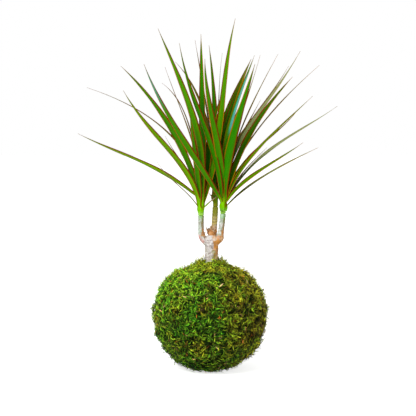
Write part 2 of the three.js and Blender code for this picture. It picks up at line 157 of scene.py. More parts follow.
def seeded_draws(seed: int) -> Iterator[float]:
    """Yields the same row of draws between 0 and 1 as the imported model's source.

    Args:
        seed: The first state.

    Yields:
        One draw after another.
    """
    state = seed
    while True:
        state = state * 16807 % 2147483647
        yield state / 2147483647


@dataclass
class Sheaf:
    """Many like bodies gathered for one mesh.

    Each body brings its points in millimetres, its faces as rows of point numbers, and marks,
    which are values held at its points.
    """

    points: list[Array] = field(default_factory=list)
    faces: list[list[int]] = field(default_factory=list)
    marks: dict[str, list[Array]] = field(default_factory=dict)
    count: int = 0

    def add(self, points: Array, faces: Array | list, **marks: Array) -> None:
        """Adds one body, or many at once.

        Args:
            points: The places of its points, one a row.
            faces: The point numbers of each face.
            marks: For each mark, a value or a row of values for each point.
        """
        if isinstance(faces, Array):
            self.faces.extend((faces + self.count).tolist())
        else:
            self.faces.extend([[i + self.count for i in face] for face in faces])
        self.points.append(points)
        for name, values in marks.items():
            self.marks.setdefault(name, []).append(values)
        self.count += len(points)

    def mesh(self, name: str) -> Mesh:
        """Writes the gathered bodies as a mesh in metres.

        Args:
            name: The mesh's name.

        Returns:
            The mesh. A mark of two values becomes a UV map, of three a colour, of one a value.
        """
        mesh = bpy.data.meshes.new(name)
        mesh.from_pydata((np.concatenate(self.points) * MM).tolist(), [], self.faces)
        corners = np.empty(len(mesh.loops), np.int32)
        mesh.loops.foreach_get("vertex_index", corners)
        for mark, parts in self.marks.items():
            values = np.concatenate(parts).astype(np.float32)
            if values.shape[1:] == (2,):
                mesh.uv_layers.new(name=mark).uv.foreach_set("vector", values[corners].ravel())
            else:
                mark_points(mesh, mark, values)
        mesh.shade_smooth()
        return mesh

    def piece(self, name: str, slot: Slot, material: Material, *replaced: str) -> None:
        """Makes the gathered bodies a piece, as make_piece says."""
        make_piece(self.mesh(name), slot, material, *replaced)


def add_object(name: str, data: ID) -> Object:
    """Puts new data in the scene as an object."""
    added = bpy.data.objects.new(name, data)
    bpy.context.scene.collection.objects.link(added)
    return added


def make_piece(
    mesh: Mesh, slot: Slot, material: Material, *replaced: str
) -> None:
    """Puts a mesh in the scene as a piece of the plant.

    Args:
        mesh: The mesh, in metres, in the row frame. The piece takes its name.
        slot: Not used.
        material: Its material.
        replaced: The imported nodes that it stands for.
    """
    piece = add_object(mesh.name, mesh)
    mesh.materials.append(material)
    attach(piece, BODY)
    if replaced:
        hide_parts(*replaced)
    LOG.info("%s: %d faces", piece.name, len(mesh.polygons))


class Wiring:
    """Adds nodes to a node tree, each with its values and links in one call."""

    def __init__(self, tree: NodeTree) -> None:
        """Keeps the tree that the nodes go into."""
        self.tree = tree

    def node(self, kind: str, inputs: dict | None = None, **settings: object) -> Node:
        """Adds a node.

        Args:
            kind: Blender's name of its type, without "ShaderNode".
            inputs: Sockets or values for its inputs, by name or number.
            settings: Values of its own properties.

        Returns:
            The node.
        """
        made = self.tree.nodes.new("ShaderNode" + kind)
        for name, value in settings.items():
            setattr(made, name, value)
        for key, value in (inputs or {}).items():
            if isinstance(value, NodeSocket):
                self.tree.links.new(value, made.inputs[key])
            elif isinstance(value, tuple) and len(value) == 3 and made.inputs[key].type == "RGBA":
                made.inputs[key].default_value = (*value, 1)
            else:
                made.inputs[key].default_value = value
        return made

    def math(self, operation: str, *terms: object, clamp: bool = False) -> NodeSocket:
        """Adds a Math node with its sockets or numbers, and gives its result."""
        return self.node("Math", dict(enumerate(terms)), operation=operation, use_clamp=clamp).outputs[0]

    def scaled(self, colour: NodeSocket, factor: object) -> NodeSocket:
        """A colour made lighter or darker by a factor."""
        return self.node("VectorMath", {0: colour, "Scale": factor}, operation="SCALE").outputs[0]

    def between(self, value: object, low: float, high: float) -> NodeSocket:
        """Maps a socket's value smoothly to 0 at low and 1 at high."""
        ranged = {"Value": value, "From Min": low, "From Max": high}
        return self.node("MapRange", ranged, interpolation_type="SMOOTHSTEP").outputs[0]

    def mix(self, share: object, first: object, second: object) -> NodeSocket:
        """Mixes a share of the second colour into the first."""
        return self.node("Mix", {0: share, 6: first, 7: second}, data_type="RGBA").outputs[2]

    def ramp(self, share: object, stops: list[tuple[float, Colour]]) -> NodeSocket:
        """Adds a colour ramp.

        Args:
            share: The socket that runs along it.
            stops: The colour at each place of it.

        Returns:
            The ramp's colour.
        """
        node = self.node("ValToRGB", {0: share})
        elements = node.color_ramp.elements
        while len(elements) < len(stops):
            elements.new(1)
        for element, (place, colour) in zip(elements, stops, strict=True):
            element.position = place
            element.color = (*colour, 1)
        return node.outputs[0]

    def parts(self, vector: NodeSocket) -> list[NodeSocket]:
        """The three parts of a vector."""
        return list(self.node("SeparateXYZ", {0: vector}).outputs)

    def seen_by_camera(self, elsewhere: float, to_camera: float) -> NodeSocket:
        """A value that the camera's own rays see otherwise than all other light does."""
        seen = self.node("LightPath").outputs["Is Camera Ray"]
        return self.node("MapRange", {"Value": seen, "To Min": elsewhere, "To Max": to_camera}).outputs[0]

    def group(self, tree: NodeTree, **inputs: object) -> Node:
        """Places a shared effect, with its inputs by name."""
        return self.node("Group", inputs, node_tree=tree)


class Surface(Wiring):
    """A new material and what is wired up in it."""

    def __init__(self, name: str) -> None:
        """Starts the material."""
        self.material = bpy.data.materials.new(name)
        self.material.use_nodes = True
        super().__init__(self.material.node_tree)
        self.shader = self.tree.nodes["Principled BSDF"]

    def attribute(self, name: str, output: str = "Fac") -> NodeSocket:
        """What a mark holds at the surface's points."""
        return self.node("Attribute", attribute_name=name).outputs[output]

    def map(self, name: str) -> list[NodeSocket]:
        """The places across and along in one of the mesh's maps."""
        return self.parts(self.node("UVMap", uv_map=name).outputs[0])[:2]

    def finished(
        self, colour: object, roughness: float, gloss: float, height: NodeSocket | None = None,
        strength: float = 0.5, distance: float = 0.0005,
    ) -> Material:
        """Links up the shader and sets its own values.

        Args:
            colour: The surface's colour.
            roughness: The shader's roughness.
            gloss: Its specular level.
            height: The surface's fine relief, if it has one.
            strength: How strongly the relief shows.
            distance: How high it is, in metres.

        Returns:
            The material.
        """
        self.tree.links.new(colour, self.shader.inputs["Base Color"])
        if height is not None:
            bump = self.node("Bump", {"Height": height, "Strength": strength, "Distance": distance})
            self.tree.links.new(bump.outputs[0], self.shader.inputs["Normal"])
        self.shader.inputs["Roughness"].default_value = roughness
        self.shader.inputs["Specular IOR Level"].default_value = gloss
        return self.material


def effect(name: str, inputs: dict[str, str], outputs: dict[str, str]) -> tuple:
    """Starts a shared effect as a node group.

    Args:
        name: The group's name.
        inputs: The kind of each input, by name.
        outputs: The kind of each output, by name.

    Returns:
        The group's tree, its wiring, its input node and its output node.
    """
    tree = bpy.data.node_groups.new(name, "ShaderNodeTree")
    for in_out, sockets in (("INPUT", inputs), ("OUTPUT", outputs)):
        for socket, kind in sockets.items():
            tree.interface.new_socket(name=socket, in_out=in_out, socket_type="NodeSocket" + kind)
    wiring = Wiring(tree)
    return tree, wiring, tree.nodes.new("NodeGroupInput"), tree.nodes.new("NodeGroupOutput")


@cache
def mottle_effect() -> NodeTree:
    """The shared effect of blotches of a second colour, in the frame's own coordinates.

    Returns:
        The group. Scale counts blotches a metre, and Cover is the share that they take.
    """
    kinds = {"Ground": "Color", "Blotch": "Color", "Scale": "Float", "Cover": "Float", "Detail": "Float"}
    tree, wiring, given, result = effect("mottle", kinds, {"Colour": "Color", "Mask": "Float"})
    place = wiring.node("TexCoord").outputs["Object"]
    grain = {name: given.outputs[name] for name in ("Scale", "Detail")}
    cloud = wiring.node("TexNoise", {"Vector": place, **grain, "Roughness": 0.6}).outputs["Fac"]
    middle = wiring.math("MULTIPLY_ADD", given.outputs["Cover"], -0.5, 0.75)
    raised = wiring.math("SUBTRACT", cloud, middle)
    mask = wiring.math("MULTIPLY_ADD", raised, 9.0, 0.5, clamp=True)
    tree.links.new(mask, result.inputs["Mask"])
    colour = wiring.mix(mask, given.outputs["Ground"], given.outputs["Blotch"])
    tree.links.new(colour, result.inputs["Colour"])
    return tree


@cache
def streak_effect() -> NodeTree:
    """The shared effect of fine lines that run lengthwise over a blade or a papery scale.

    Returns:
        The group. Across and Along are places on the blade, Number tells blades apart, and
        Lines counts the lines across it.
    """
    floats = {name: "Float" for name in ("Across", "Along", "Number", "Lines", "Strength")}
    kinds = {"Ground": "Color", "Line": "Color", **floats}
    tree, wiring, given, result = effect("lengthwise lines", kinds, {"Colour": "Color", "Mask": "Float"})
    across = wiring.math("MULTIPLY", given.outputs["Across"], given.outputs["Lines"])
    axes = {0: across, 1: given.outputs["Along"], 2: given.outputs["Number"]}
    place = wiring.node("CombineXYZ", axes).outputs[0]
    grain = {"Scale": 1.0, "Detail": 2.0, "Roughness": 0.6}
    cloud = wiring.node("TexNoise", {"Vector": place, **grain}).outputs["Fac"]
    mask = wiring.between(cloud, 0.36, 0.66)
    share = wiring.math("MULTIPLY", mask, given.outputs["Strength"])
    tree.links.new(mask, result.inputs["Mask"])
    colour = wiring.mix(share, given.outputs["Ground"], given.outputs["Line"])
    tree.links.new(colour, result.inputs["Colour"])
    return tree


@dataclass(frozen=True)
class MossFinish:
    """Living moss: its greens, its dry browns, and how it darkens into the ball, which is painted shade.

    A strand's mark holds its place among the hues and how light it is, which carries painted light and
    shade.
    """

    hues: tuple[tuple[float, Colour], ...] = (
        (0.0, screen(14, 70, 8)),
        (0.14, screen(34, 112, 12)),
        (0.28, screen(82, 146, 24)),
        (0.42, screen(138, 168, 34)),
        (0.53, screen(158, 156, 30)),
        (0.63, screen(116, 108, 20)),
        (0.74, screen(112, 74, 18)),
        (0.85, screen(176, 98, 34)),
        (1.0, screen(214, 178, 130)),
    )
    darkest: float = 0.02
    lightest: float = 4.6
    sharpness: float = 2.6
    roughness: float = 0.5

    def material(self) -> Material:
        """The strands' material."""
        surface = Surface("moss strands")
        hue, light = surface.map("tone")
        sharpened = surface.math("POWER", light, self.sharpness)
        reach = {"Value": sharpened, "To Min": self.darkest, "To Max": self.lightest}
        level = surface.node("MapRange", reach).outputs[0]
        lit = surface.scaled(surface.ramp(hue, list(self.hues)), level)
        return surface.finished(lit, self.roughness, 0.18)


@dataclass(frozen=True)
class MossBedFinish:
    """The dark felt of old moss that the strands grow from: its near-black ground is painted shade deep
    among the strands, and its brown and green blotches are the old moss's own colours.
    """

    # painted shade: the near-black ground stands in for the shade deep among the strands
    dark: Colour = screen(12, 30, 6)
    brown: Colour = screen(44, 34, 12)
    green: Colour = screen(26, 62, 8)

    def material(self) -> Material:
        """The bed's material.

        Returns:
            The material.
        """
        surface = Surface("moss bed")
        first = surface.group(
            mottle_effect(), Ground=self.dark, Blotch=self.brown, Scale=160.0, Cover=0.5, Detail=3.0
        ).outputs["Colour"]
        second = surface.group(
            mottle_effect(), Ground=first, Blotch=self.green, Scale=420.0, Cover=0.5, Detail=2.0
        ).outputs
        return surface.finished(second["Colour"], 0.95, 0.1, second["Mask"], 0.5, 0.0006)


class TintAndSheen(Enum):
    """What the outer part of a blade turns to: a dry straw colour of its own, painted sheen of teal, pale
    or silvery reflected light, or a pinkish painted highlight.
    """

    NONE = screen(0, 0, 0)
    # painted sheen: teal reflected light
    TEAL_SHEEN = screen(84, 186, 176)
    # painted sheen: pale grey reflected light
    PALE = screen(160, 168, 112)
    STRAW = screen(126, 112, 40)
    # painted sheen: silvery reflected light
    SILVER_SHEEN = screen(178, 176, 160)
    # painted highlight: pinkish white
    MAUVE_HIGHLIGHT = screen(178, 150, 150)


@dataclass(frozen=True)
class Look:
    """How one blade looks beside its neighbours, its light being painted light and shade.

    Its outer colour, which is a dry straw colour, painted sheen or a painted highlight, comes in between
    two shares of the blade's length, goes out past a third, and covers the blade's width up to a side.
    """

    yellow: float = 0.3
    # painted light and shade: how brightly the blade's green is lit
    light: float = 0.85
    tint_and_sheen: TintAndSheen = TintAndSheen.NONE
    amount: float = 0.0
    start: float = 0.2
    full: float = 0.4
    gone: float = 2.0
    rim: float = 1.0
    side: float = 2.0


@dataclass(frozen=True)
class BladePaint:
    """The ground colours of blades, from the sheath to the dry tip."""

    base: Colour = screen(132, 206, 4)
    cuff: Colour = screen(168, 226, 84)
    deep: Colour = screen(30, 134, 0)
    yellow: Colour = screen(154, 180, 2)
    olive: Colour = screen(104, 104, 0)
    tip: Colour = screen(150, 128, 84)
    cuff_reach: float = 3.0
    base_reach: Span = (5.0, 20.0)
    olive_reach: Span = (0.42, 1.0)
    tip_share: float = 0.9

    def ground(self, look: Look, blade_map: Array, travelled: Array) -> Array:
        """The ground colour at each point of a blade, with painted light and shade and, on some blades,
        painted sheen.

        Args:
            look: The blade's look.
            blade_map: How far across and along the blade each point lies, from 0 to 1.
            travelled: How far from the blade's start it lies.

        Returns:
            The colours, one a row.
        """
        across, along = blade_map[:, 0], blade_map[:, 1]

        def blend(share: Array, first: Array, second: Colour) -> Array:
            """Mixes a second colour into the first by a share."""
            return first * (1 - share[:, None]) + np.array(second) * share[:, None]

        green = np.tile(self.deep, (len(along), 1))
        # painted light and shade: the yellow grows across the blade, so one half looks lit and yellow-green
        # and the other shaded and deep green
        green = blend(np.clip(look.yellow * (0.3 + 0.7 * across), 0, 1), green, self.yellow)
        green = blend(0.85 * smoothstep(*self.olive_reach, np.abs(2 * across - 1)), green, self.olive)
        tinted = smoothstep(look.start, look.full, along) * smoothstep(look.gone, look.gone - 0.1, along)
        tinted = tinted * smoothstep(look.side + 0.1, look.side - 0.1, across)
        # painted light and shade by the blade's light, then its outer colour, which on some blades is
        # painted sheen
        shaded = blend(look.amount * tinted, green * look.light, look.tint_and_sheen.value)
        based = blend(smoothstep(self.base_reach[1], self.base_reach[0], travelled), shaded, self.base)
        cuffed = blend(smoothstep(self.cuff_reach, 0, travelled), based, self.cuff)
        return blend(0.9 * smoothstep(self.tip_share, 1, along), cuffed, self.tip)


@dataclass(frozen=True)
class BladeFinish:
    """A blade: its ground colour with fine lengthwise lines and with red-brown margins.

    The marks of a blade are its map (across, along), its ground colour, its rim (how strong
    the margins are), its number, and how far each point is from the blade's edge.
    """

    margin: Colour = screen(176, 112, 8)
    maroon: Colour = screen(122, 42, 6)
    margin_width: float = 1.06
    lines: float = 13.0
    light_line: float = 1.3
    dark_line: float = 0.62
    roughness: float = 0.42

    def material(self) -> Material:
        """The blades' material.

        Returns:
            The material.
        """
        surface = Surface("blade")
        across, along = surface.map("blade")
        ground = surface.attribute("ground", "Color")
        number = surface.attribute("blade_number")
        lined = surface.group(
            streak_effect(), Ground=ground, Line=surface.scaled(ground, self.light_line), Across=across,
            Along=surface.math("MULTIPLY", along, 2.5), Number=number, Lines=self.lines, Strength=0.6,
        ).outputs["Colour"]
        fine = surface.group(
            streak_effect(), Ground=lined, Line=surface.scaled(ground, self.dark_line), Across=across,
            Along=surface.math("MULTIPLY", along, 7.0), Number=surface.math("ADD", number, 0.5),
            Lines=self.lines * 2.2, Strength=0.5,
        ).outputs
        place = surface.node("CombineXYZ", {0: number, 1: along, 2: across}).outputs[0]
        ragged = surface.node("TexNoise", {"Vector": place, "Scale": 7.0, "Detail": 3.0}).outputs["Fac"]
        uneven = surface.math("MULTIPLY", surface.math("SUBTRACT", ragged, 0.5), 1.4)
        inside = surface.math("ADD", surface.attribute("blade_edge"), uneven)
        rim = surface.between(inside, self.margin_width + 0.3, self.margin_width - 0.3)
        side = surface.math("ADD", across, surface.math("MULTIPLY", uneven, 0.9))
        reds = surface.mix(surface.between(side, 0.2, 0.8), self.margin, self.maroon)
        faded = surface.math("MULTIPLY", surface.between(ragged, 0.24, 0.46), surface.attribute("rim"))
        edged = surface.mix(surface.math("MULTIPLY", rim, faded), fine["Colour"], reds)
        return surface.finished(edged, self.roughness, 0.03, fine["Mask"], 0.3, 0.0002)


@dataclass(frozen=True)
class BarkFinish:
    """Pale bark that is stained, pitted and specked.

    Its marks hold the bark's own stains with painted shade on its right side, and how chalky it is.
    """

    speck: Colour = screen(142, 108, 104)
    pit: Colour = screen(88, 62, 40)
    pale: Colour = screen(244, 240, 236)

    def material(self) -> Material:
        """The bark's material.

        Returns:
            The material.
        """
        surface = Surface("bark")
        stain, chalk = surface.attribute("stain", "Color"), surface.attribute("chalk")
        pale = surface.group(
            mottle_effect(), Ground=stain, Blotch=self.pale, Scale=340.0, Cover=0.42, Detail=3.0
        ).outputs
        softened = surface.mix(surface.math("MULTIPLY", chalk, 0.7), stain, pale["Colour"])
        specks = surface.group(
            mottle_effect(), Ground=softened, Blotch=self.speck, Scale=460.0, Cover=0.38, Detail=3.0
        ).outputs["Colour"]
        specked = surface.mix(surface.math("MULTIPLY_ADD", chalk, 0.45, 0.12), softened, specks)
        pits = surface.group(
            mottle_effect(), Ground=specked, Blotch=self.pit, Scale=400.0, Cover=0.16, Detail=4.0
        ).outputs
        height = surface.math("SUBTRACT", surface.math("MULTIPLY", pale["Mask"], 0.5), pits["Mask"])
        return surface.finished(pits["Colour"], 0.82, 0.25, height, 0.6, 0.0003)


@dataclass(frozen=True)
class PaperFinish:
    """The dry papery collars: orange-brown, with dark lengthwise lines and a pale rim."""

    ground: Colour = screen(252, 196, 126)
    line: Colour = screen(196, 120, 56)
    rim: Colour = screen(252, 232, 204)

    def material(self) -> Material:
        """The collars' material.

        Returns:
            The material.
        """
        surface = Surface("papery collar")
        across, along = surface.map("scale")
        lined = surface.group(
            streak_effect(), Ground=self.ground, Line=self.line, Across=across, Along=along,
            Number=3.0, Lines=120.0, Strength=0.8,
        ).outputs
        pale = surface.group(
            mottle_effect(), Ground=lined["Colour"], Blotch=self.rim, Scale=380.0, Cover=0.3, Detail=2.0
        ).outputs["Colour"]
        near_rim = surface.math("MULTIPLY", surface.between(along, 0.75, 1.0), 0.6)
        rimmed = surface.mix(near_rim, pale, self.rim)
        blotched = surface.group(
            mottle_effect(), Ground=rimmed, Blotch=self.line, Scale=420.0, Cover=0.25, Detail=2.0
        ).outputs["Colour"]
        return surface.finished(blotched, 0.7, 0.3, lined["Mask"], 0.5, 0.0003)


@dataclass(frozen=True)
class EarthFinish:
    """Something rough in two browns: the soil, the roots or the thread inside the moss."""

    name: str
    ground: Colour
    blotch: Colour
    scale: float

    def material(self) -> Material:
        """The material.

        Returns:
            The material.
        """
        surface = Surface(self.name)
        blotched = surface.group(
            mottle_effect(), Ground=self.ground, Blotch=self.blotch, Scale=self.scale, Cover=0.5,
            Detail=4.0,
        ).outputs
        return surface.finished(blotched["Colour"], 0.9, 0.2, blotched["Mask"], 0.5, 0.0005)


@dataclass(frozen=True)
class FrontView:
    """The front view that the plant is matched to."""

    distance: float = 1560.0
    rise: float = 6.0
    aim: Point = (-2.0, 0.0, 163.0)
    lens: float = 135.0
    sensor: float = 36.0

    def place(self, x: float, z: float, depth: float) -> Array:
        """Finds a point by where the front view shows it.

        Args:
            x: How far right of the origin it shows, in the plane of the plant's middle.
            z: How high it shows there.
            depth: How far behind that plane it lies, along +Y.

        Returns:
            The point.
        """
        nearness = 1 + depth / self.distance
        fall = math.tan(math.radians(self.rise)) * depth
        aim_x, _, aim_z = self.aim
        return np.array([aim_x + (x - aim_x) * nearness, depth, aim_z + (z - aim_z) * nearness - fall])

    def camera(self) -> None:
        """Sets up the scene's camera."""
        data = bpy.data.cameras.new("front view")
        data.lens, data.sensor_width = self.lens, self.sensor
        data.clip_start, data.clip_end = 0.05, 50
        camera = add_object("front view", data)
        rise = math.radians(self.rise)
        back = Vector((0, -math.cos(rise), math.sin(rise)))
        camera.location = Vector(self.aim) * MM + back * self.distance * MM
        camera.rotation_euler = (-back).to_track_quat("-Z", "Y").to_euler()
        bpy.context.scene.camera = camera


VIEW = FrontView()


@dataclass(frozen=True)
class Stain:
    """A soft round patch of another colour, or of another hue of moss."""

    centre: Point
    radius: float
    colour: Colour | float
    strength: float = 1.0

    def share(self, points: Array) -> Array:
        """How much of it each point takes, from 0 to 1."""
        away = np.linalg.norm(points - np.array(self.centre), axis=1) / self.radius
        return self.strength * smoothstep(1.25, 0.55, away)


def crossed_waves(points: Array, waves: Point) -> Array:
    """The product of a wave along each axis, from -1 to 1, at each point."""
    return np.prod(np.sin(points * np.array(waves)), axis=1)


def clouds(points: Array, wavelength: float, seed: int, terms: int = 9) -> Array:
    """A smooth drift of values over space.

    Args:
        points: Where it is wanted.
        wavelength: About how far it is from one high place to the next.
        seed: The seed of its draws.
        terms: How many waves it adds up.

    Returns:
        A value from about -1 to 1 at each point.
    """
    rng = default_rng(seed)
    total = np.zeros(len(points))
    for _ in range(terms):
        wave = unit(rng.normal(size=3)) * 2 * math.pi / (wavelength * rng.uniform(0.7, 1.5))
        total += np.sin(points @ wave + rng.uniform(0, 2 * math.pi))
    return total / math.sqrt(terms / 2) / 1.6


@dataclass
class StrandDraws:
    """What is drawn for a batch of moss strands, one row for each strand."""

    roots: Array
    normals: Array
    headings: Array
    lengths: Array
    curls: Array
    lifts: Array
    radii: Array
    hues: Array
    lights: Array

    def pick(self, rows: Array) -> "StrandDraws":
        """The draws of some of the strands."""
        return StrandDraws(*(getattr(self, name)[rows] for name in self.__dataclass_fields__))

    def sides(self) -> list[tuple[str, "StrandDraws"]]:
        """The strands of the ball's left half and those of its right half."""
        on_left = self.roots[:, 0] < 0
        return [("left", self.pick(on_left)), ("right", self.pick(~on_left))]

    def tones(self, along: Array, foot: float, full: float) -> Array:
        """The hue and lightness at each point of each strand, painted darker towards its foot as shade.

        Args:
            along: How far along its strand each point lies, for one strand.
            foot: The share of its lightness that a strand has at its foot, which is painted shade.
            full: How far along it has all of it.

        Returns:
            One row for each point of each strand.
        """
        # painted shade: each strand is darker towards its foot, inside the moss
        light = self.lights[:, None] * (foot + (1 - foot) * smoothstep(0.0, full, along))[None]
        return np.stack([np.repeat(self.hues, len(along)), light.ravel()], 1)


def strand_paths(draws: StrandDraws, steps: int, droop: float = 1.55) -> tuple[Array, Array]:
    """Lets each strand creep over the ball, curling as it goes.

    Args:
        draws: The strands' draws.
        steps: How many steps a strand takes.
        droop: How much of its lift a strand loses on its way.

    Returns:
        The strands' middle points, and the direction at each of them.
    """
    helper = np.where(np.abs(draws.normals[:, 2:]) < 0.9, UP, TO_BACK)
    first = unit(np.cross(helper, draws.normals))
    second = np.cross(draws.normals, first)
    place = draws.roots.copy()
    stride = (draws.lengths / steps)[:, None]
    places, ways = [place], []
    for step in range(steps):
        share = (step + 0.5) / steps
        heading = draws.headings + draws.curls * share
        lift = draws.lifts * (1 - droop * share)
        level = np.cos(heading)[:, None] * first + np.sin(heading)[:, None] * second
        way = np.cos(lift)[:, None] * level + np.sin(lift)[:, None] * draws.normals
        place = place + way * stride
        places.append(place)
        ways.append(way)
    ways.append(ways[-1])
    return np.stack(places, 1), np.stack(ways, 1)


def tubes(
    paths: Array, ways: Array, normals: Array, radii: Array, profile: object, flatness: float
) -> tuple[Array, Array]:
    """Wraps three-sided tapering bodies round many middle lines.

    Args:
        paths: The lines' points, strand by strand.
        ways: The direction at each of them.
        normals: Outward at each strand.
        radii: Each strand's radius.
        profile: The share of it at each point but the last, which is the tip.
        flatness: A section's height as a share of its width.

    Returns:
        The points of all bodies, and their triangles.
    """
    strands, rings = len(paths), len(profile)
    side = unit(np.cross(ways[:, :rings], normals[:, None]))
    over = np.cross(side, ways[:, :rings])
    reach = radii[:, None, None] * np.array(profile)[None, :, None]
    corners = []
    for turn in (0.5, 7 / 6, 11 / 6):
        out = math.cos(turn * math.pi) * side + flatness * math.sin(turn * math.pi) * over
        corners.append(paths[:, :rings] + out * reach)
    sections = np.stack(corners, 2).reshape(strands, rings * 3, 3)
    points = np.concatenate([sections, paths[:, rings:rings + 1]], 1)
    triangles = [(0, 1, 2)]
    for ring in range(rings - 1):
        for corner in range(3):
            low, next_low = ring * 3 + corner, ring * 3 + (corner + 1) % 3
            triangles += [(low, low + 3, next_low + 3), (low, next_low + 3, next_low)]
    last = (rings - 1) * 3
    triangles += [(last + corner, rings * 3, last + (corner + 1) % 3) for corner in range(3)]
    offsets = np.arange(strands)[:, None, None] * points.shape[1]
    return points.reshape(-1, 3), (np.array(triangles)[None] + offsets).reshape(-1, 3)


@dataclass(frozen=True)
class StrandLayer:
    """One layer of strands: how deep they root, how light they are, and which of them it takes. The deeper
    layers are painted darker, as shade inside the moss.
    """

    name: str
    depth: float
    light: float
    first: float
    last: float
    steps: int


# The deeper layers are painted darker, as the shade inside the moss.
STRAND_LAYERS = (
    StrandLayer("moss_strands_low", 3.0, 0.45, 0.0, 0.32, 3),
    StrandLayer("moss_strands_mid", 2.3, 0.78, 0.32, 0.66, 3),
    StrandLayer("moss_strands_top", 1.6, 1.0, 0.66, 1.0, 4),
)


@dataclass(frozen=True)
class SprigGroup:
    """The tall sprigs over one stretch of the ball's top."""

    count: int
    stretch: Span
    lengths: Span


SPRIG_GROUPS = (
    SprigGroup(60, (-14, -5.2), (6.0, 15.0)),
    SprigGroup(95, (7.2, 17), (6.0, 19.0)),
    SprigGroup(40, (-22, 26), (3.0, 6.0)),
)

# The moss's patches of another hue: where the front view shows them, radius, hue, strength.
HUE_PATCHES = (
    (-6, 62, 7, 0.68, 0.7), (-1, 64, 3.5, 0.76, 0.7), (-4, 99, 6, 0.74, 0.7), (13, 34, 5.5, 0.2, 1.0),
    (52, 42, 9, 0.68, 0.8), (48, 27, 8, 0.7, 0.6), (-53, 50, 8, 0.6, 0.7), (-12, 22, 10, 0.62, 0.6),
    (19, 92, 5, 0.74, 0.6), (27, 92, 4, 0.78, 0.6), (44, 74, 14, 0.54, 0.7), (54, 62, 10, 0.53, 0.8),
    (2, 105, 10, 0.5, 0.8), (9, 24, 6, 0.64, 0.5), (37, 27, 9, 0.6, 0.5), (-32, 84, 16, 0.36, 0.8),
    (-42, 70, 13, 0.33, 0.7), (-28, 38, 10, 0.18, 0.4), (8, 52, 8, 0.16, 0.5), (22, 100, 5, 0.16, 0.5),
    (-30, 22, 9, 0.58, 0.5), (-36, 60, 6, 0.7, 0.4), (20, 70, 6, 0.66, 0.4), (2, 80, 6, 0.66, 0.3),
)

# The stray strands that the front view shows off the ball: the route, hue and lightness of each.
STRAYS = (
    ([(55, 55), (58, 51.5), (61.5, 48.7), (58, 48.2), (53.5, 49)], 0.62, 0.5),
    ([(52, 29), (54, 30.5), (56.5, 32)], 0.62, 0.4),
    ([(53, 73), (55.5, 70.5), (56.5, 67)], 0.52, 0.7),
    ([(49, 81.5), (52.5, 78), (53.6, 74.6), (55.3, 77.4)], 0.6, 0.6),
    ([(48, 82), (50, 84.5), (50.6, 86)], 0.5, 0.7),
    ([(-28, 102), (-27.5, 104.5), (-28.4, 107.4)], 0.45, 0.8),
    ([(-50, 74), (-53, 74), (-56, 72)], 0.45, 0.7),
    ([(-54, 64), (-57, 62), (-59, 60.5), (-57.5, 58), (-55, 56)], 0.5, 0.7),
    ([(38, 94), (40, 96.5), (41.6, 98)], 0.55, 0.6),
    ([(42, 92), (43, 95.5), (44.3, 97.4)], 0.56, 0.6),
    ([(-13, 108.5), (-15, 111), (-15.8, 112.8)], 0.44, 0.8),
    ([(-8.5, 108), (-12, 110.5), (-9, 113), (-7, 117)], 0.5, 0.8),
    ([(-6, 110), (-9, 112.5), (-10.5, 114.5)], 0.47, 0.8),
    ([(9, 112), (12, 112.4), (14, 113.6)], 0.5, 0.7),
    ([(8, 109), (12, 109), (16, 108)], 0.5, 0.7),
    ([(55, 65.5), (57.5, 64.6), (59, 63.6)], 0.55, 0.6),
    ([(-51, 44), (-54, 43.4), (-55.5, 42)], 0.6, 0.5),
)


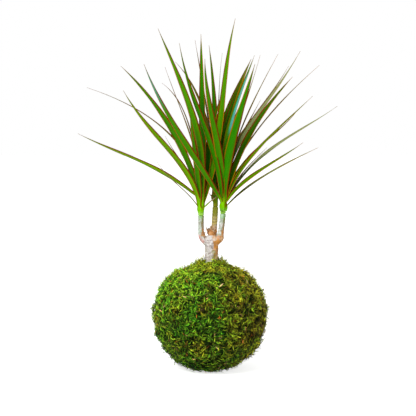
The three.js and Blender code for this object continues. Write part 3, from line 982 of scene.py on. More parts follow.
@dataclass
class Moss:
    """The moss cover: a dark bed over the soil, and the strands and sprigs that hide it."""

    radius: float = 56.0
    centre_height: float = 54.5
    top_flatness: float = 0.03
    top_sharpness: float = 8.0
    tuft_count: int = 300
    tuft_relief: float = 3.2
    tuft_angle: float = 0.125
    sprig_relief: float = 0.8
    sprig_waves: Point = (2.3, 2.9, 2.1)
    tuft_seed: int = 7
    point_stray: float = 0.8
    trunk_x: float = 1.6
    trunk_radius: float = 6.6
    bed_depth: float = 2.3
    bed_sides: int = 144
    bed_rows: int = 96
    bed_inner_rows: int = 10
    inner_radius: float = 48.6
    strand_count: int = 31000
    sprig_count: int = 1800
    whisker_count: int = 3900
    leaflets: int = 12
    trunk_tufts: int = 900
    stray_radius: float = 0.34
    lowest: float = 0.05
    tufts: Array = field(init=False)
    material: Material = field(init=False)

    def __post_init__(self) -> None:
        """Draws the tufts' directions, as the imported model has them."""
        self.tufts = self.spread_directions(self.tuft_count)

    @property
    def centre(self) -> Array:
        """The ball's centre."""
        return np.array([0, 0, self.centre_height])

    def spread_directions(self, count: int) -> Array:
        """Directions spread evenly over a ball, each shifted a little by a draw.

        Args:
            count: How many there are.

        Returns:
            One direction a row.
        """
        draws = seeded_draws(self.tuft_seed)
        golden_angle = math.pi * (3 - math.sqrt(5))
        stray = self.point_stray / math.sqrt(count)
        rows = []
        for i in range(count):
            z = 1 - (2 * i + 1) / count
            ring = math.sqrt(1 - z * z)
            even = (ring * math.cos(i * golden_angle), ring * math.sin(i * golden_angle), z)
            rows.append([part + stray * (2 * next(draws) - 1) for part in even])
        return unit(np.array(rows))

    def reach(self, directions: Array) -> Array:
        """How far the moss reaches from the ball's centre.

        Args:
            directions: One direction a row.

        Returns:
            The radius along each.
        """
        flat = self.top_flatness * np.maximum(0, directions[:, 2]) ** self.top_sharpness
        nearest = (directions @ self.tufts.T).max(axis=1)
        share = np.arccos(np.minimum(1, nearest)) / self.tuft_angle
        lift = 1 - 2 * np.minimum(1, share * share)
        waves = crossed_waves(directions * self.radius, self.sprig_waves)
        return self.radius * (1 - flat) + self.tuft_relief / 2 * lift + self.sprig_relief * waves

    def surface(self, directions: Array, depth: float = 0.0) -> Array:
        """Points under the moss's outer surface.

        Args:
            directions: Their directions from the ball's centre.
            depth: How deep they lie.

        Returns:
            The points, none below the surface that the ball rests on.
        """
        points = directions * (self.reach(directions) - depth)[:, None]
        points[:, 2] = np.maximum(points[:, 2] + self.centre_height, 0)
        return points

    def on_front(self, x: float, z: float, depth: float = 0.0) -> Array:
        """The point of the moss that the front view shows at a place.

        Args:
            x: How far right of the origin it shows.
            z: How high it shows.
            depth: How deep under the surface it lies.

        Returns:
            The point.
        """
        point = VIEW.place(x, z, 0)
        for _ in range(6):
            level = math.hypot(point[0], point[2] - self.centre_height)
            back = math.sqrt(max(self.radius ** 2 - level ** 2, 0))
            point = VIEW.place(x, z, -back)
        return self.surface(unit(point - self.centre)[None], depth)[0]

    def hue_stains(self) -> list[Stain]:
        """The patches where the moss has another hue, with the hue's place."""
        return [
            Stain(tuple(self.on_front(x, z)), radius, hue, strength)
            for x, z, radius, hue, strength in HUE_PATCHES
        ]

    def hues_and_lights(self, points: Array, rng: Generator) -> tuple[Array, Array]:
        """Draws each strand's hue and lightness by where it grows, with painted light on the ball's top and
        upper left and painted shade low down.

        Args:
            points: The strands' roots.
            rng: The draws.

        Returns:
            The places of the hues, and the lightnesses.
        """
        x, z = points[:, 0], points[:, 2]
        hue = 0.335 + 0.07 * clouds(points, 26, 3) + 0.05 * clouds(points, 9, 4)
        hue += 0.16 * smoothstep(-5, 40, x) + 0.08 * smoothstep(85, 108, z)
        for stain in self.hue_stains():
            share = stain.share(points)
            hue += share * (stain.colour - hue)
        hue += rng.normal(0, 0.055, len(points))
        dry = rng.random(len(points))
        hue = np.where(dry < 0.035, rng.uniform(0.68, 0.86, len(points)), hue)
        hue = np.where(dry > 0.988, rng.uniform(0.9, 1.0, len(points)), hue)
        light = 0.57 + 0.08 * clouds(points, 11, 5) + rng.normal(0, 0.22, len(points))
        # painted light: the ball's top and upper left lighter, as if lit from there
        light += 0.08 * smoothstep(60, 95, z) + 0.17 * smoothstep(40, 85, z) * smoothstep(20, -25, x)
        # painted shade: the ball's lowest part darker
        light -= 0.08 * smoothstep(40, 5, z)
        return np.clip(hue, 0.01, 0.99), np.clip(light, 0.08, 0.98)

    def draw_strands(self, count: int, seed: int) -> StrandDraws:
        """Draws strands all over the ball, but not where the trunk is.

        Args:
            count: How many are drawn.
            seed: The seed.

        Returns:
            Their draws.
        """
        rng = default_rng(seed)
        directions = unit(rng.normal(size=(count, 3)))
        roots = self.surface(directions)
        heaped = 1.2 * clouds(roots, 13, 31) - 2.6 * smoothstep(99, 107, roots[:, 2])
        roots += directions * heaped[:, None]
        trunk_gap = np.hypot(roots[:, 0] - self.trunk_x, roots[:, 1])
        kept = (trunk_gap > self.trunk_radius + 0.3) | (directions[:, 2] < 0)
        kept &= roots[:, 2] > 0.6
        directions, roots = directions[kept], roots[kept]
        number = len(roots)
        hues, lights = self.hues_and_lights(roots, rng)
        headings = 2.6 * clouds(roots, 20, 11) + rng.normal(0, 0.9, number)
        return StrandDraws(
            roots=roots,
            normals=directions,
            headings=headings,
            lengths=rng.uniform(3.4, 8.4, number),
            curls=rng.normal(0, 1.7, number),
            lifts=rng.uniform(0.35, 1.0, number),
            radii=rng.uniform(0.21, 0.48, number),
            hues=hues,
            lights=lights,
        )

    def build_bed(self) -> None:
        """Builds the bed: a lumpy shell round the soil, open where the trunk comes out."""
        rim = math.asin((self.trunk_radius + 0.4) / self.radius)
        angles = np.arange(self.bed_sides) / self.bed_sides * 2 * math.pi
        outside = [(polar, True) for polar in np.linspace(rim, math.pi, self.bed_rows)]
        inside = [(polar, False) for polar in np.linspace(math.pi, rim, self.bed_inner_rows)]
        rings = []
        for polar, is_outer in outside + inside:
            held = min(max(polar, 1e-4), math.pi - 1e-4)
            level, high = math.sin(held), np.full(self.bed_sides, math.cos(held))
            directions = np.stack([level * np.cos(angles), level * np.sin(angles), high], 1)
            if is_outer:
                ring = self.surface(directions, self.bed_depth)
                lumps = 0.35 * clouds(ring, 2.4, 21)
                ring += directions * (lumps - 2.2 * smoothstep(99, 106, ring[:, 2]))[:, None]
                ring[:, 2] = np.maximum(ring[:, 2], 0)
            else:
                ring = directions * self.inner_radius + self.centre
            ring[:, 0] += self.trunk_x * smoothstep(0.5, 0.2, np.array(polar))
            rings.append(ring)
        faces = []
        for row in range(len(rings)):
            low, high = row * self.bed_sides, (row + 1) % len(rings) * self.bed_sides
            for i in range(self.bed_sides):
                j = (i + 1) % self.bed_sides
                faces.append([low + i, high + i, high + j, low + j])
        sheaf = Sheaf()
        sheaf.add(np.concatenate(rings), faces)
        sheaf.piece("moss_bed", Slot.MOSS, MossBedFinish().material(), "moss_cover")

    def tone_piece(self, name: str, bodies: list[tuple[Array, Array, Array]]) -> None:
        """Makes a piece of bodies that carry their hues and lightnesses.

        Args:
            name: The piece's name.
            bodies: The points, the triangles and the tones of each body.
        """
        sheaf = Sheaf()
        for points, faces, tone in bodies:
            points[:, 2] = np.maximum(points[:, 2], self.lowest)
            sheaf.add(points, faces, **{BAKE_MAP: tone, "tone": tone})
        sheaf.piece(name, Slot.MOSS, self.material)

    def strand_piece(
        self, name: str, draws: StrandDraws, depth: float, steps: int = 4, droop: float = 1.55
    ) -> None:
        """Builds a batch of curled strands as one piece.

        Args:
            name: The piece's name.
            draws: The strands' draws.
            depth: How deep in the moss they root.
            steps: How many steps each takes.
            droop: How much of its lift a strand loses on its way.
        """
        draws.roots = draws.roots - draws.normals * depth
        paths, ways = strand_paths(draws, steps, droop)
        paths[..., 2] = np.maximum(paths[..., 2], 0.7)
        profile = np.sin(np.linspace(0.85, 2.4, steps)) ** 0.7
        points, faces = tubes(paths, ways, draws.normals, draws.radii, profile, 0.75)
        along = np.append(np.repeat(np.arange(steps) / steps, 3), 1.0)
        self.tone_piece(name, [(points, faces, draws.tones(along, 0.32, 0.6))])

    def sprig_piece(self, name: str, draws: StrandDraws, droop: float = 1.55) -> None:
        """Builds a batch of feathery sprigs as one piece.

        Args:
            name: The piece's name.
            draws: The sprigs' draws.
            droop: How much of its lift a sprig loses on its way.
        """
        steps = 3
        draws.lengths = draws.lengths * 1.15
        draws.roots = draws.roots - draws.normals * 1.5
        paths, ways = strand_paths(draws, steps, droop)
        paths[..., 2] = np.maximum(paths[..., 2], 1.2)
        stems, faces = tubes(paths, ways, draws.normals, draws.radii * 0.62, (1.0, 0.85, 0.6), 1.0)
        along = np.append(np.repeat(np.arange(steps) / steps, 3), 1.0)
        bodies = [(stems, faces, draws.tones(along, 0.35, 0.7))]
        rng = default_rng(len(name))
        for leaflet in range(self.leaflets):
            share = (leaflet + 1.5) / (self.leaflets + 1.5)
            cell = min(int(share * steps), steps - 1)
            foot = paths[:, cell] + (paths[:, cell + 1] - paths[:, cell]) * (share * steps - cell)
            hand = 1 if leaflet % 2 else -1
            points, faces = self.leaflet_row(draws, foot, ways[:, cell], hand, share, rng)
            along = np.array([share * 0.7, share * 0.7, share * 0.6, 1.0])
            bodies.append((points, faces, draws.tones(along, 0.35, 0.7)))
        self.tone_piece(name, bodies)

    @staticmethod
    def leaflet_row(
        draws: StrandDraws, foot: Array, way: Array, hand: int, share: float, rng: Generator
    ) -> tuple[Array, Array]:
        """One pointed leaflet on each of many sprigs.

        Args:
            draws: The sprigs' draws.
            foot: Where each leaflet starts.
            way: The sprigs' directions there.
            hand: The side that it stands off to, 1 or -1.
            share: How far up the sprigs it stands.
            rng: The draws for its spread and length.

        Returns:
            The leaflets' points and triangles.
        """
        count = len(foot)
        side = unit(np.cross(way, draws.normals)) * hand
        over = np.cross(side, way) * hand
        spread = rng.uniform(0.75, 1.15, (count, 1))
        out = unit(way * 0.75 + side * spread + over * rng.uniform(-0.3, 0.55, (count, 1)))
        length = rng.uniform(1.1, 1.9, (count, 1)) * (1.15 - 0.6 * share)
        broad = unit(np.cross(out, over)) * (0.18 + 0.3 * draws.radii)[:, None]
        corners = np.stack([foot + broad, foot - broad, foot - over * 0.22, foot + out * length], 1)
        cells = np.array([(0, 1, 2), (0, 3, 1), (1, 3, 2), (2, 3, 0)])
        faces = cells[None] + np.arange(count)[:, None, None] * 4
        return corners.reshape(-1, 3), faces.reshape(-1, 3)

    def build(self) -> None:
        """Builds all the moss."""
        self.build_bed()
        self.material = MossFinish().material()
        strands = self.draw_strands(self.strand_count, 31)
        place = np.linspace(0, 1, len(strands.roots))
        for layer in STRAND_LAYERS:
            batch = strands.pick((place >= layer.first) & (place < layer.last))
            # painted shade: the deeper the layer, the darker its strands
            batch.lights = batch.lights * layer.light
            for side, half in batch.sides():
                self.strand_piece(f"{layer.name}_{side}", half, layer.depth, layer.steps)
        whiskers = self.draw_strands(self.whisker_count, 53)
        whiskers.lifts = whiskers.lifts + 0.25
        whiskers.radii = whiskers.radii * 0.9
        self.strand_piece("moss_whiskers", whiskers, 1.0, droop=0.6)
        sprigs = self.draw_strands(self.sprig_count, 77)
        for side, half in sprigs.sides():
            self.sprig_piece(f"moss_sprigs_{side}", half)
        self.build_collar_tufts()
        self.sprig_piece("moss_sprigs_at_trunk", self.tall_sprigs(), droop=0.5)
        self.build_strays()

    def build_collar_tufts(self) -> None:
        """Builds the moss that climbs the foot of the trunk."""
        rng = default_rng(5)
        count = self.trunk_tufts
        bearing = rng.uniform(0, 2 * math.pi, count)
        away = self.trunk_radius + 0.1 + np.abs(rng.normal(0, 2.6, count))
        directions = np.stack([
            away * np.cos(bearing) + self.trunk_x, away * np.sin(bearing), np.full(count, self.radius)
        ], 1)
        roots = self.surface(unit(directions))
        outward = np.stack([np.cos(bearing), np.sin(bearing), np.zeros(count)], 1)
        close = smoothstep(2.5, 0.0, away - self.trunk_radius)
        to_right = smoothstep(0.1, 0.8, np.cos(bearing + 0.45))
        to_left = smoothstep(0.55, 0.95, np.cos(bearing - math.pi - 0.2))
        roots[:, 2] += close * rng.uniform(0, 1, count) * (0.5 + 8.0 * to_right + 1.5 * to_left)
        hues = np.clip(0.47 + rng.normal(0, 0.06, count) + 0.04 * clouds(roots, 8, 9), 0, 1)
        draws = StrandDraws(
            roots=roots,
            normals=unit(outward * 0.6 + UP),
            headings=rng.uniform(0, 2 * math.pi, count),
            lengths=rng.uniform(2.2, 4.6, count) * (1 + 0.3 * to_right),
            curls=rng.normal(0, 1.6, count),
            lifts=rng.uniform(0.5, 1.4, count),
            radii=rng.uniform(0.22, 0.44, count),
            hues=hues,
            lights=np.clip(rng.normal(0.66, 0.16, count), 0.2, 1),
        )
        self.strand_piece("moss_tufts_at_trunk", draws, 2.8, droop=1.2)

    def tall_sprigs(self) -> StrandDraws:
        """Draws the tall yellow sprigs that stand on both sides of the trunk."""
        rng = default_rng(15)
        roots, lengths = [], []
        for group in SPRIG_GROUPS:
            x, y = rng.uniform(*group.stretch, group.count), rng.uniform(-5, 3.5, group.count)
            away = np.stack([x, y, np.full(group.count, self.radius)], 1)
            roots.append(self.surface(unit(away), 2.6))
            near = smoothstep(14, 5, np.abs(x - self.trunk_x))
            lengths.append(rng.uniform(*group.lengths, group.count) * (0.55 + 0.45 * near))
        points = np.concatenate(roots)
        number = len(points)
        lean = rng.normal(0, 0.35, (number, 3)) + UP + points * np.array([0.012, 0.012, 0])
        return StrandDraws(
            roots=points,
            normals=unit(lean),
            headings=rng.uniform(0, 2 * math.pi, number),
            lengths=np.concatenate(lengths),
            curls=rng.normal(0, 0.8, number),
            lifts=rng.uniform(1.0, 1.7, number),
            radii=rng.uniform(0.6, 1.0, number),
            hues=np.clip(rng.normal(0.5, 0.05, number), 0, 1),
            lights=np.clip(rng.normal(0.6, 0.14, number), 0.25, 1),
        )

    def build_strays(self) -> None:
        """Builds the stray strands that stand off the ball, as the front view shows them."""
        bodies = []
        for route, hue, light in STRAYS:
            middles = np.array([VIEW.place(x, z, 0) for x, z in route])
            middles[:, 1] += np.linspace(0, -3, len(route))
            way = unit(np.gradient(middles, axis=0))
            normals = unit(middles[:1] - self.centre)
            profile = tuple(np.linspace(1.0, 0.6, len(route) - 1))
            radii = np.array([self.stray_radius])
            points, faces = tubes(middles[None], way[None], normals, radii, profile, 1.0)
            bodies.append((points, faces, np.tile([hue, light], (len(points), 1))))
        self.tone_piece("moss_stray_strands", bodies)


BladeRow = tuple[float, Point, Point, Point, float, float]
LEFT_BLADES: list[BladeRow] = [
    (172, (-50, -7, 200.3), (-89, -16, 219.4), (-129, -28, 239), 7, 0.64),
    (161, (-24, -6, 179), (-40, -12, 194.5), (-54, -20, 214), 3, 0.4),
    (162, (-26.3, -14, 203.5), (-54.6, -34, 240), (-83, -58, 282), 7.2, 0.85),
    (165, (-25.2, 6, 215), (-54, 16, 263.5), (-90, 28, 304), 8, 0.8),
    (170, (-28, 9, 221), (-70, 22, 258), (-125, 38, 282), 4.5, 0.35),
    (171, (-17, 9, 227), (-29.5, 25, 264), (-49, 45, 286.5), 4.5, 0.3),
    (171, (-15, 4, 217), (-29, 10, 260), (-45, 18, 303), 4.5, 0.3),
    (167, (-19, 3, 192), (-32, 8, 213), (-45, 14, 234), 3.5, 0.35),
    (170, (-11, -8, 229), (-28, -18, 286), (-50.5, -32, 341), 8.5, 0.82),
    (166, (-12.8, -7, 197), (-16.2, -13, 228), (-20, -20, 258), 7.5, 0.8),
    (172, (-7, 1, 225), (-7.7, 5, 281), (-9, 10, 336), 9.3, 0.8),
    (166, (7.5, 1, 228), (15, 0, 290), (25, -2, 351), 8.5, 0.8),
    (161, (-5, -4, 164.5), (0.5, -3, 169.7), (7, 0, 174.5), 3, 0.6),
    (172, (-2.6, 3, 206), (2.4, 4, 240), (11, 6, 274), 9, 0.85),
]
RIGHT_BLADES: list[BladeRow] = [
    (169, (-15.6, -25, 215.2), (-42.2, -41, 260.3), (-63, -60, 307), 7.8, 0.8),
    (170, (8.9, -10, 216.5), (-0.2, -32, 264.8), (-5, -58, 312), 7.8, 0.95),
    (170, (1, -8, 225), (-16, -13, 272), (-30, -20, 327), 8, 0.75),
    (168, (17.7, -10, 214), (28.8, -27, 259), (43, -50, 307), 10, 0.9),
    (170, (15.7, -5, 225), (28.3, -12, 273), (43.3, -23, 315), 7, 0.75),
    (170, (22, 1, 221), (35, 5, 266), (50, 10, 315), 4, 0.3),
    (170, (24, 2, 221), (45, 8, 272), (68, 16, 316), 4, 0.3),
    (170, (27.5, 2, 224), (54.5, 6, 265.5), (90, 11, 319), 7, 0.6),
    (166, (30.5, -4, 218.5), (54, -8, 260), (81, -14, 294), 7.5, 0.75),
    (169, (32, 4, 217), (67, 12, 263.5), (110, 22, 305), 4, 0.3),
    (166, (34, -10, 205.5), (63, -24, 239.8), (99, -42, 276), 5.5, 0.5),
    (166, (32, -7, 206.5), (60, -17, 235), (86, -30, 263), 4.5, 0.4),
    (167, (48, -2, 211), (86, -4, 239), (126, -6, 265), 6, 0.35),
    (165, (32.5, -14, 189), (59, -34, 209.7), (89, -58, 232), 5.5, 0.6),
    (162, (38, -10, 185), (69, -23, 206), (105, -38, 226), 5, 0.35),
    (165, (28, 2, 191), (42, 5, 208), (57, 9, 223), 3.5, 0.35),
]
BACK_BLADES: list[BladeRow] = [
    (180, (5, 8, 225), (3.5, 9, 274), (-1, 11, 325), 8, 0.75),
    (178, (9, 12, 223), (22.6, 19, 267.5), (41.5, 28, 311), 10.5, 0.95),
    (177, (9, 10, 215), (19, 13, 255), (37, 16, 303), 8, 0.9),
    (180, (8.5, 15, 220), (9.2, 26, 270), (12.5, 39, 317), 4.5, 0.3),
    (180, (2, 11, 220), (-6, 16, 275), (-15, 23, 330), 6, 0.35),
    (178, (2, 14, 215), (-9, 23, 264), (-35, 34, 308), 7, 0.6),
    (178, (22, 13, 220), (49, 22, 259), (80, 38, 304), 6, 0.4),
    (177, (22, 14, 215), (36, 20, 242), (51, 27, 270), 5, 0.4),
    (171, (3, 5, 173), (1, 3, 175), (-2, 1, 179), 2.5, 0.8),
]

# The looks of the listed blades, in the same order. The second value of each is painted light and shade:
# blades lying in shade are darker, lit ones lighter.
LEFT_LOOKS = [
    Look(0.75, 1.12), Look(0.4, 0.9, TintAndSheen.SILVER_SHEEN, 0.5), Look(0.55, 1.15), Look(0.2, 0.85),
    Look(0.6, 0.75, TintAndSheen.STRAW, 0.5), Look(0.4, 0.72, TintAndSheen.STRAW, 0.6), Look(0.3, 0.72, TintAndSheen.STRAW, 0.6),
    Look(0.35, 0.7, TintAndSheen.STRAW, 0.5), Look(0.25, 1.1), Look(0.2, 0.95), Look(0.1, 0.95),
    Look(0.3, 1.05), Look(0.5, 1.1, TintAndSheen.MAUVE_HIGHLIGHT, 0.75, 0.3, 0.6, rim=0.6), Look(0.1, 0.6),
]
RIGHT_LOOKS = [
    Look(0.2, 1.0, TintAndSheen.TEAL_SHEEN, 0.45, 0.68, 0.85), Look(0.2, 0.98), Look(0.12, 1.0), Look(0.08, 0.95),
    Look(0.2, 0.85, TintAndSheen.TEAL_SHEEN, 0.95, 0.46, 0.54, 0.92, 0.5, 0.55),
    Look(0.4, 0.75, TintAndSheen.STRAW, 0.5, 0.4, 0.7), Look(0.4, 0.75, TintAndSheen.STRAW, 0.5),
    Look(0.2, 0.6, TintAndSheen.PALE, 0.85, 0.3, 0.45, rim=0.5), Look(0.3, 0.5),
    Look(0.4, 0.7, TintAndSheen.STRAW, 0.6), Look(0.45, 0.8), Look(0.1, 0.45),
    Look(0.55, 0.85, TintAndSheen.PALE, 0.8, 0.2, 0.4, rim=0.4), Look(0.45, 0.78), Look(0.6, 0.85, TintAndSheen.PALE, 0.4),
    Look(0.4, 0.75, TintAndSheen.MAUVE_HIGHLIGHT, 0.8, rim=0.5),
]
BACK_LOOKS = [
    Look(0.1, 0.8), Look(0.05, 0.95), Look(0.3, 0.62), Look(0.3, 0.7, TintAndSheen.SILVER_SHEEN, 0.8, 0.1, 0.3, rim=0.3),
    Look(0.3, 0.6, TintAndSheen.STRAW, 0.5), Look(0.3, 0.6, TintAndSheen.STRAW, 0.4), Look(0.34, 0.6, TintAndSheen.STRAW, 0.5),
    Look(0.3, 0.6, TintAndSheen.STRAW, 0.4), Look(0.9, 0.7, TintAndSheen.STRAW, 0.5, 0.0, 0.2),
]


@dataclass
class BladeRoute:
    """A blade's way up from inside its sheath to its tip, with a value at each row of it.

    Share is its share of the blade's length, held the sheath's radius, risen how far up the
    sheath it lies, and free and narrow how far it has left the sheath and its width.
    """

    points: Array
    outward: Array
    share: Array
    held: Array
    risen: Array
    travelled: Array
    free: Array
    narrow: Array


@dataclass
class Blade:
    """One long narrow blade, from its clasping base to its dry tip."""

    root: Array
    lower: Array
    upper: Array
    tip: Array
    width: float
    show: float | Turned
    axis: Array
    layer: float
    look: Look
    root_width: float = 0.62
    widest: float = 0.35
    taper: float = 1.7
    fold: float = 0.2
    thickness: float = 0.46
    tip_width: float = 0.4
    rows: int = 46
    sheath_length: float = 9.0
    sheath_rows: int = 7
    clasp: float = 0.95
    wrap: float = 1.1
    layer_step: float = 0.32
    foot_gap: float = 0.6
    emerge_over: float = 6.0
    sunk: float = 0.8
    emerged: float = 0.75
    least_margin: float = 2.3
    columns: tuple[float, ...] = (-1, -0.88, -0.62, -0.32, 0, 0.32, 0.62, 0.88, 1)

    def outermost_last(self) -> tuple[float, float]:
        """The key of a blade in its crown's order: the lower its sheath starts, the later it comes."""
        return round(self.sheath_length - self.root[2], 3), -self.lower[0]

    def middle_line(self, share: Array) -> tuple[Array, Array]:
        """The blade's middle line, which passes its four points in even steps.

        Args:
            share: Shares of its length.

        Returns:
            The points there, and the unit tangents.
        """
        first = -5 / 6 * self.root + 3 * self.lower - 1.5 * self.upper + self.tip / 3
        second = self.root / 3 - 1.5 * self.lower + 3 * self.upper - 5 / 6 * self.tip
        t = share[:, None]
        s = 1 - t
        points = s ** 3 * self.root + 3 * s * s * t * first + 3 * s * t * t * second + t ** 3 * self.tip
        slopes = s * s * (first - self.root) + 2 * s * t * (second - first) + t * t * (self.tip - second)
        return points, unit(slopes)

    def half_width(self, share: Array) -> Array:
        """Half the blade's width at shares of its length."""
        swell = np.sin(np.minimum(1, share / self.widest) * math.pi / 2)
        rise = self.root_width + (1 - self.root_width) * swell
        narrowing = 1 - np.maximum(0, (share - self.widest) / (1 - self.widest)) ** self.taper
        return np.maximum(self.tip_width / 2, self.width / 2 * rise * narrowing)

    def across(self, tangent: Array) -> Array:
        """The direction across the blade, with its share of it turned to the front.

        Args:
            tangent: The tangents, one a row.

        Returns:
            The directions.
        """
        if self.show is Turned.LEVEL:
            return unit(np.cross(UP, tangent))
        in_view = unit(np.cross(TO_BACK, tangent))
        in_depth = unit(np.cross(in_view, tangent))
        return in_view * self.show + in_depth * math.sqrt(1 - self.show ** 2)

    def hand(self) -> int:
        """Which way round the blade lies, so that its fold opens inward and up."""
        _, tangent = self.middle_line(np.array([0.5]))
        inward = (self.root - self.tip) * LEVEL
        normal = np.cross(tangent, self.across(tangent))[0]
        return -1 if normal @ (unit(inward) + UP) < 0 else 1

    def route(self, shoot: "Shoot") -> BladeRoute:
        """Leads the blade up inside its sheath, and then along its middle line.

        Args:
            shoot: The shoot that its base clasps.

        Returns:
            The route.
        """
        share = np.linspace(0, 1, self.rows) ** 1.12
        line, _ = self.middle_line(share)
        outward = unit((line[6] - self.axis) * LEVEL)
        start = max(shoot.foot[2] + self.foot_gap, self.root[2] - self.sheath_length)
        low = np.linspace(start, self.root[2], self.sheath_rows, endpoint=False)
        below = self.axis * LEVEL + UP * low[:, None]
        points = np.concatenate([below, line])
        height = points[:, 2]
        out = self.emerged + self.layer_step * self.layer
        held = shoot.radius_at(height) - self.sunk + out * smoothstep(0, self.emerge_over, height - start)
        level = np.linalg.norm((points - self.axis) * LEVEL, axis=1)
        beside = smoothstep(shoot.foot[2] + shoot.height, shoot.foot[2] + 15, height)
        points = points + outward * (np.maximum(held - level, 0) * beside)[:, None]
        for _ in range(2):
            points[1:-1] = (points[:-2] + 2 * points[1:-1] + points[2:]) / 4
        travelled = path_lengths(points)
        past_root = travelled - travelled[self.sheath_rows]
        return BladeRoute(
            points=points,
            outward=outward,
            share=np.concatenate([np.zeros(self.sheath_rows), share]),
            held=held,
            risen=np.clip((points[:, 2] - start) / self.sheath_length, 0, 1),
            travelled=travelled,
            free=smoothstep(-4, 9, past_root),
            narrow=smoothstep(-8, 2, past_root),
        )

    def facing(self, route: BladeRoute, sway: Array) -> tuple[Array, Array]:
        """Which way the blade faces at each row of its route.

        Args:
            route: The route.
            sway: How far it is turned there, in radians.

        Returns:
            The directions across the blade and out of its upper face.
        """
        _, tangent = self.middle_line(route.share)
        blade_across = self.across(tangent) * self.hand()
        clasp_across = np.cross(UP, route.outward)
        if clasp_across @ blade_across[self.sheath_rows + 3] <= 0:
            clasp_across = -clasp_across
        free = route.free[:, None]
        across = unit(clasp_across * (1 - free) + blade_across * free)
        ways = unit(np.gradient(route.points, axis=0))
        across = unit(across - ways * (across * ways).sum(1, keepdims=True))
        normal = np.cross(ways, across)
        turned, aside = np.cos(sway)[:, None], np.sin(sway)[:, None]
        return across * turned + normal * aside, normal * turned - across * aside

    def body(self, rng: Generator, shoot: "Shoot") -> tuple[Array, list, Array, Array, Array]:
        """Builds the blade as a thin closed body.

        Args:
            rng: The draws for its waves.
            shoot: The shoot that its base clasps.

        Returns:
            Its points, its faces, and at each point its map of across and along, how far it is
            from the blade's edge, and how far up the blade it lies.
        """
        route = self.route(shoot)
        free, share = route.free[:, None], route.share[:, None]
        sway = rng.uniform(0.03, 0.09) * np.sin(route.travelled / rng.uniform(14, 26) + rng.uniform(0, 6))
        across, normal = self.facing(route, sway * route.free)
        clasp_width = (self.clasp + self.wrap * (1 - route.risen)) * route.held
        width = clasp_width * (1 - route.narrow) + self.half_width(route.share) * route.narrow
        half = width[:, None]
        section = np.array(self.columns)
        bend = (1 - free) / route.held[:, None] + 0.02
        reach = section * half
        aside = np.sin(bend * reach) / bend
        rise = (1 - np.cos(bend * reach)) / bend
        rise = rise + self.fold * half * np.sqrt(section ** 2 + 0.02) * free
        wave = np.sin(route.travelled / rng.uniform(5, 9) + rng.uniform(0, 6))[:, None]
        rise = rise + 0.05 * wave * section ** 3 * half * free
        thick = self.thickness / 2 * (1 - 0.45 * share) * (1 - 0.78 * section ** 2)
        middle = route.points[:, None] + aside[..., None] * across[:, None]
        upper = middle + (rise + thick)[..., None] * normal[:, None]
        under = middle + (rise - thick)[..., None] * normal[:, None]
        ring = np.concatenate([upper, under[:, -2:0:-1]], 1)
        rows, around = ring.shape[:2]
        loop = np.concatenate([section, section[-2:0:-1]])
        along = np.repeat(route.travelled / route.travelled[-1], around)
        blade_map = np.stack([np.tile(loop / 2 + 0.5, rows), along], 1)
        edges = np.maximum(half, self.least_margin) * (1 - np.abs(loop))
        travelled = np.repeat(route.travelled, around)
        return ring.reshape(-1, 3), ring_cells(rows, around), blade_map, edges.ravel(), travelled


@dataclass
class Shoot:
    """The green shoot at the top of a cane, which the blades clasp."""

    foot: Array
    foot_radius: float
    swell_radius: float
    swell_height: float = 9.0
    shoulder_height: float = 17.0
    height: float = 26.0
    sides: int = 36
    rings: int = 60
    inset: float = 0.25
    scar_pitch: float = 2.1
    scar_relief: float = 0.12

    def radius_at(self, z: Array) -> Array:
        """The shoot's radius at a height in the frame."""
        heights = [0, self.swell_height, self.shoulder_height, self.height]
        radii = [self.foot_radius, self.swell_radius, self.swell_radius, 0.3]
        return np.interp(z - self.foot[2], heights, radii)


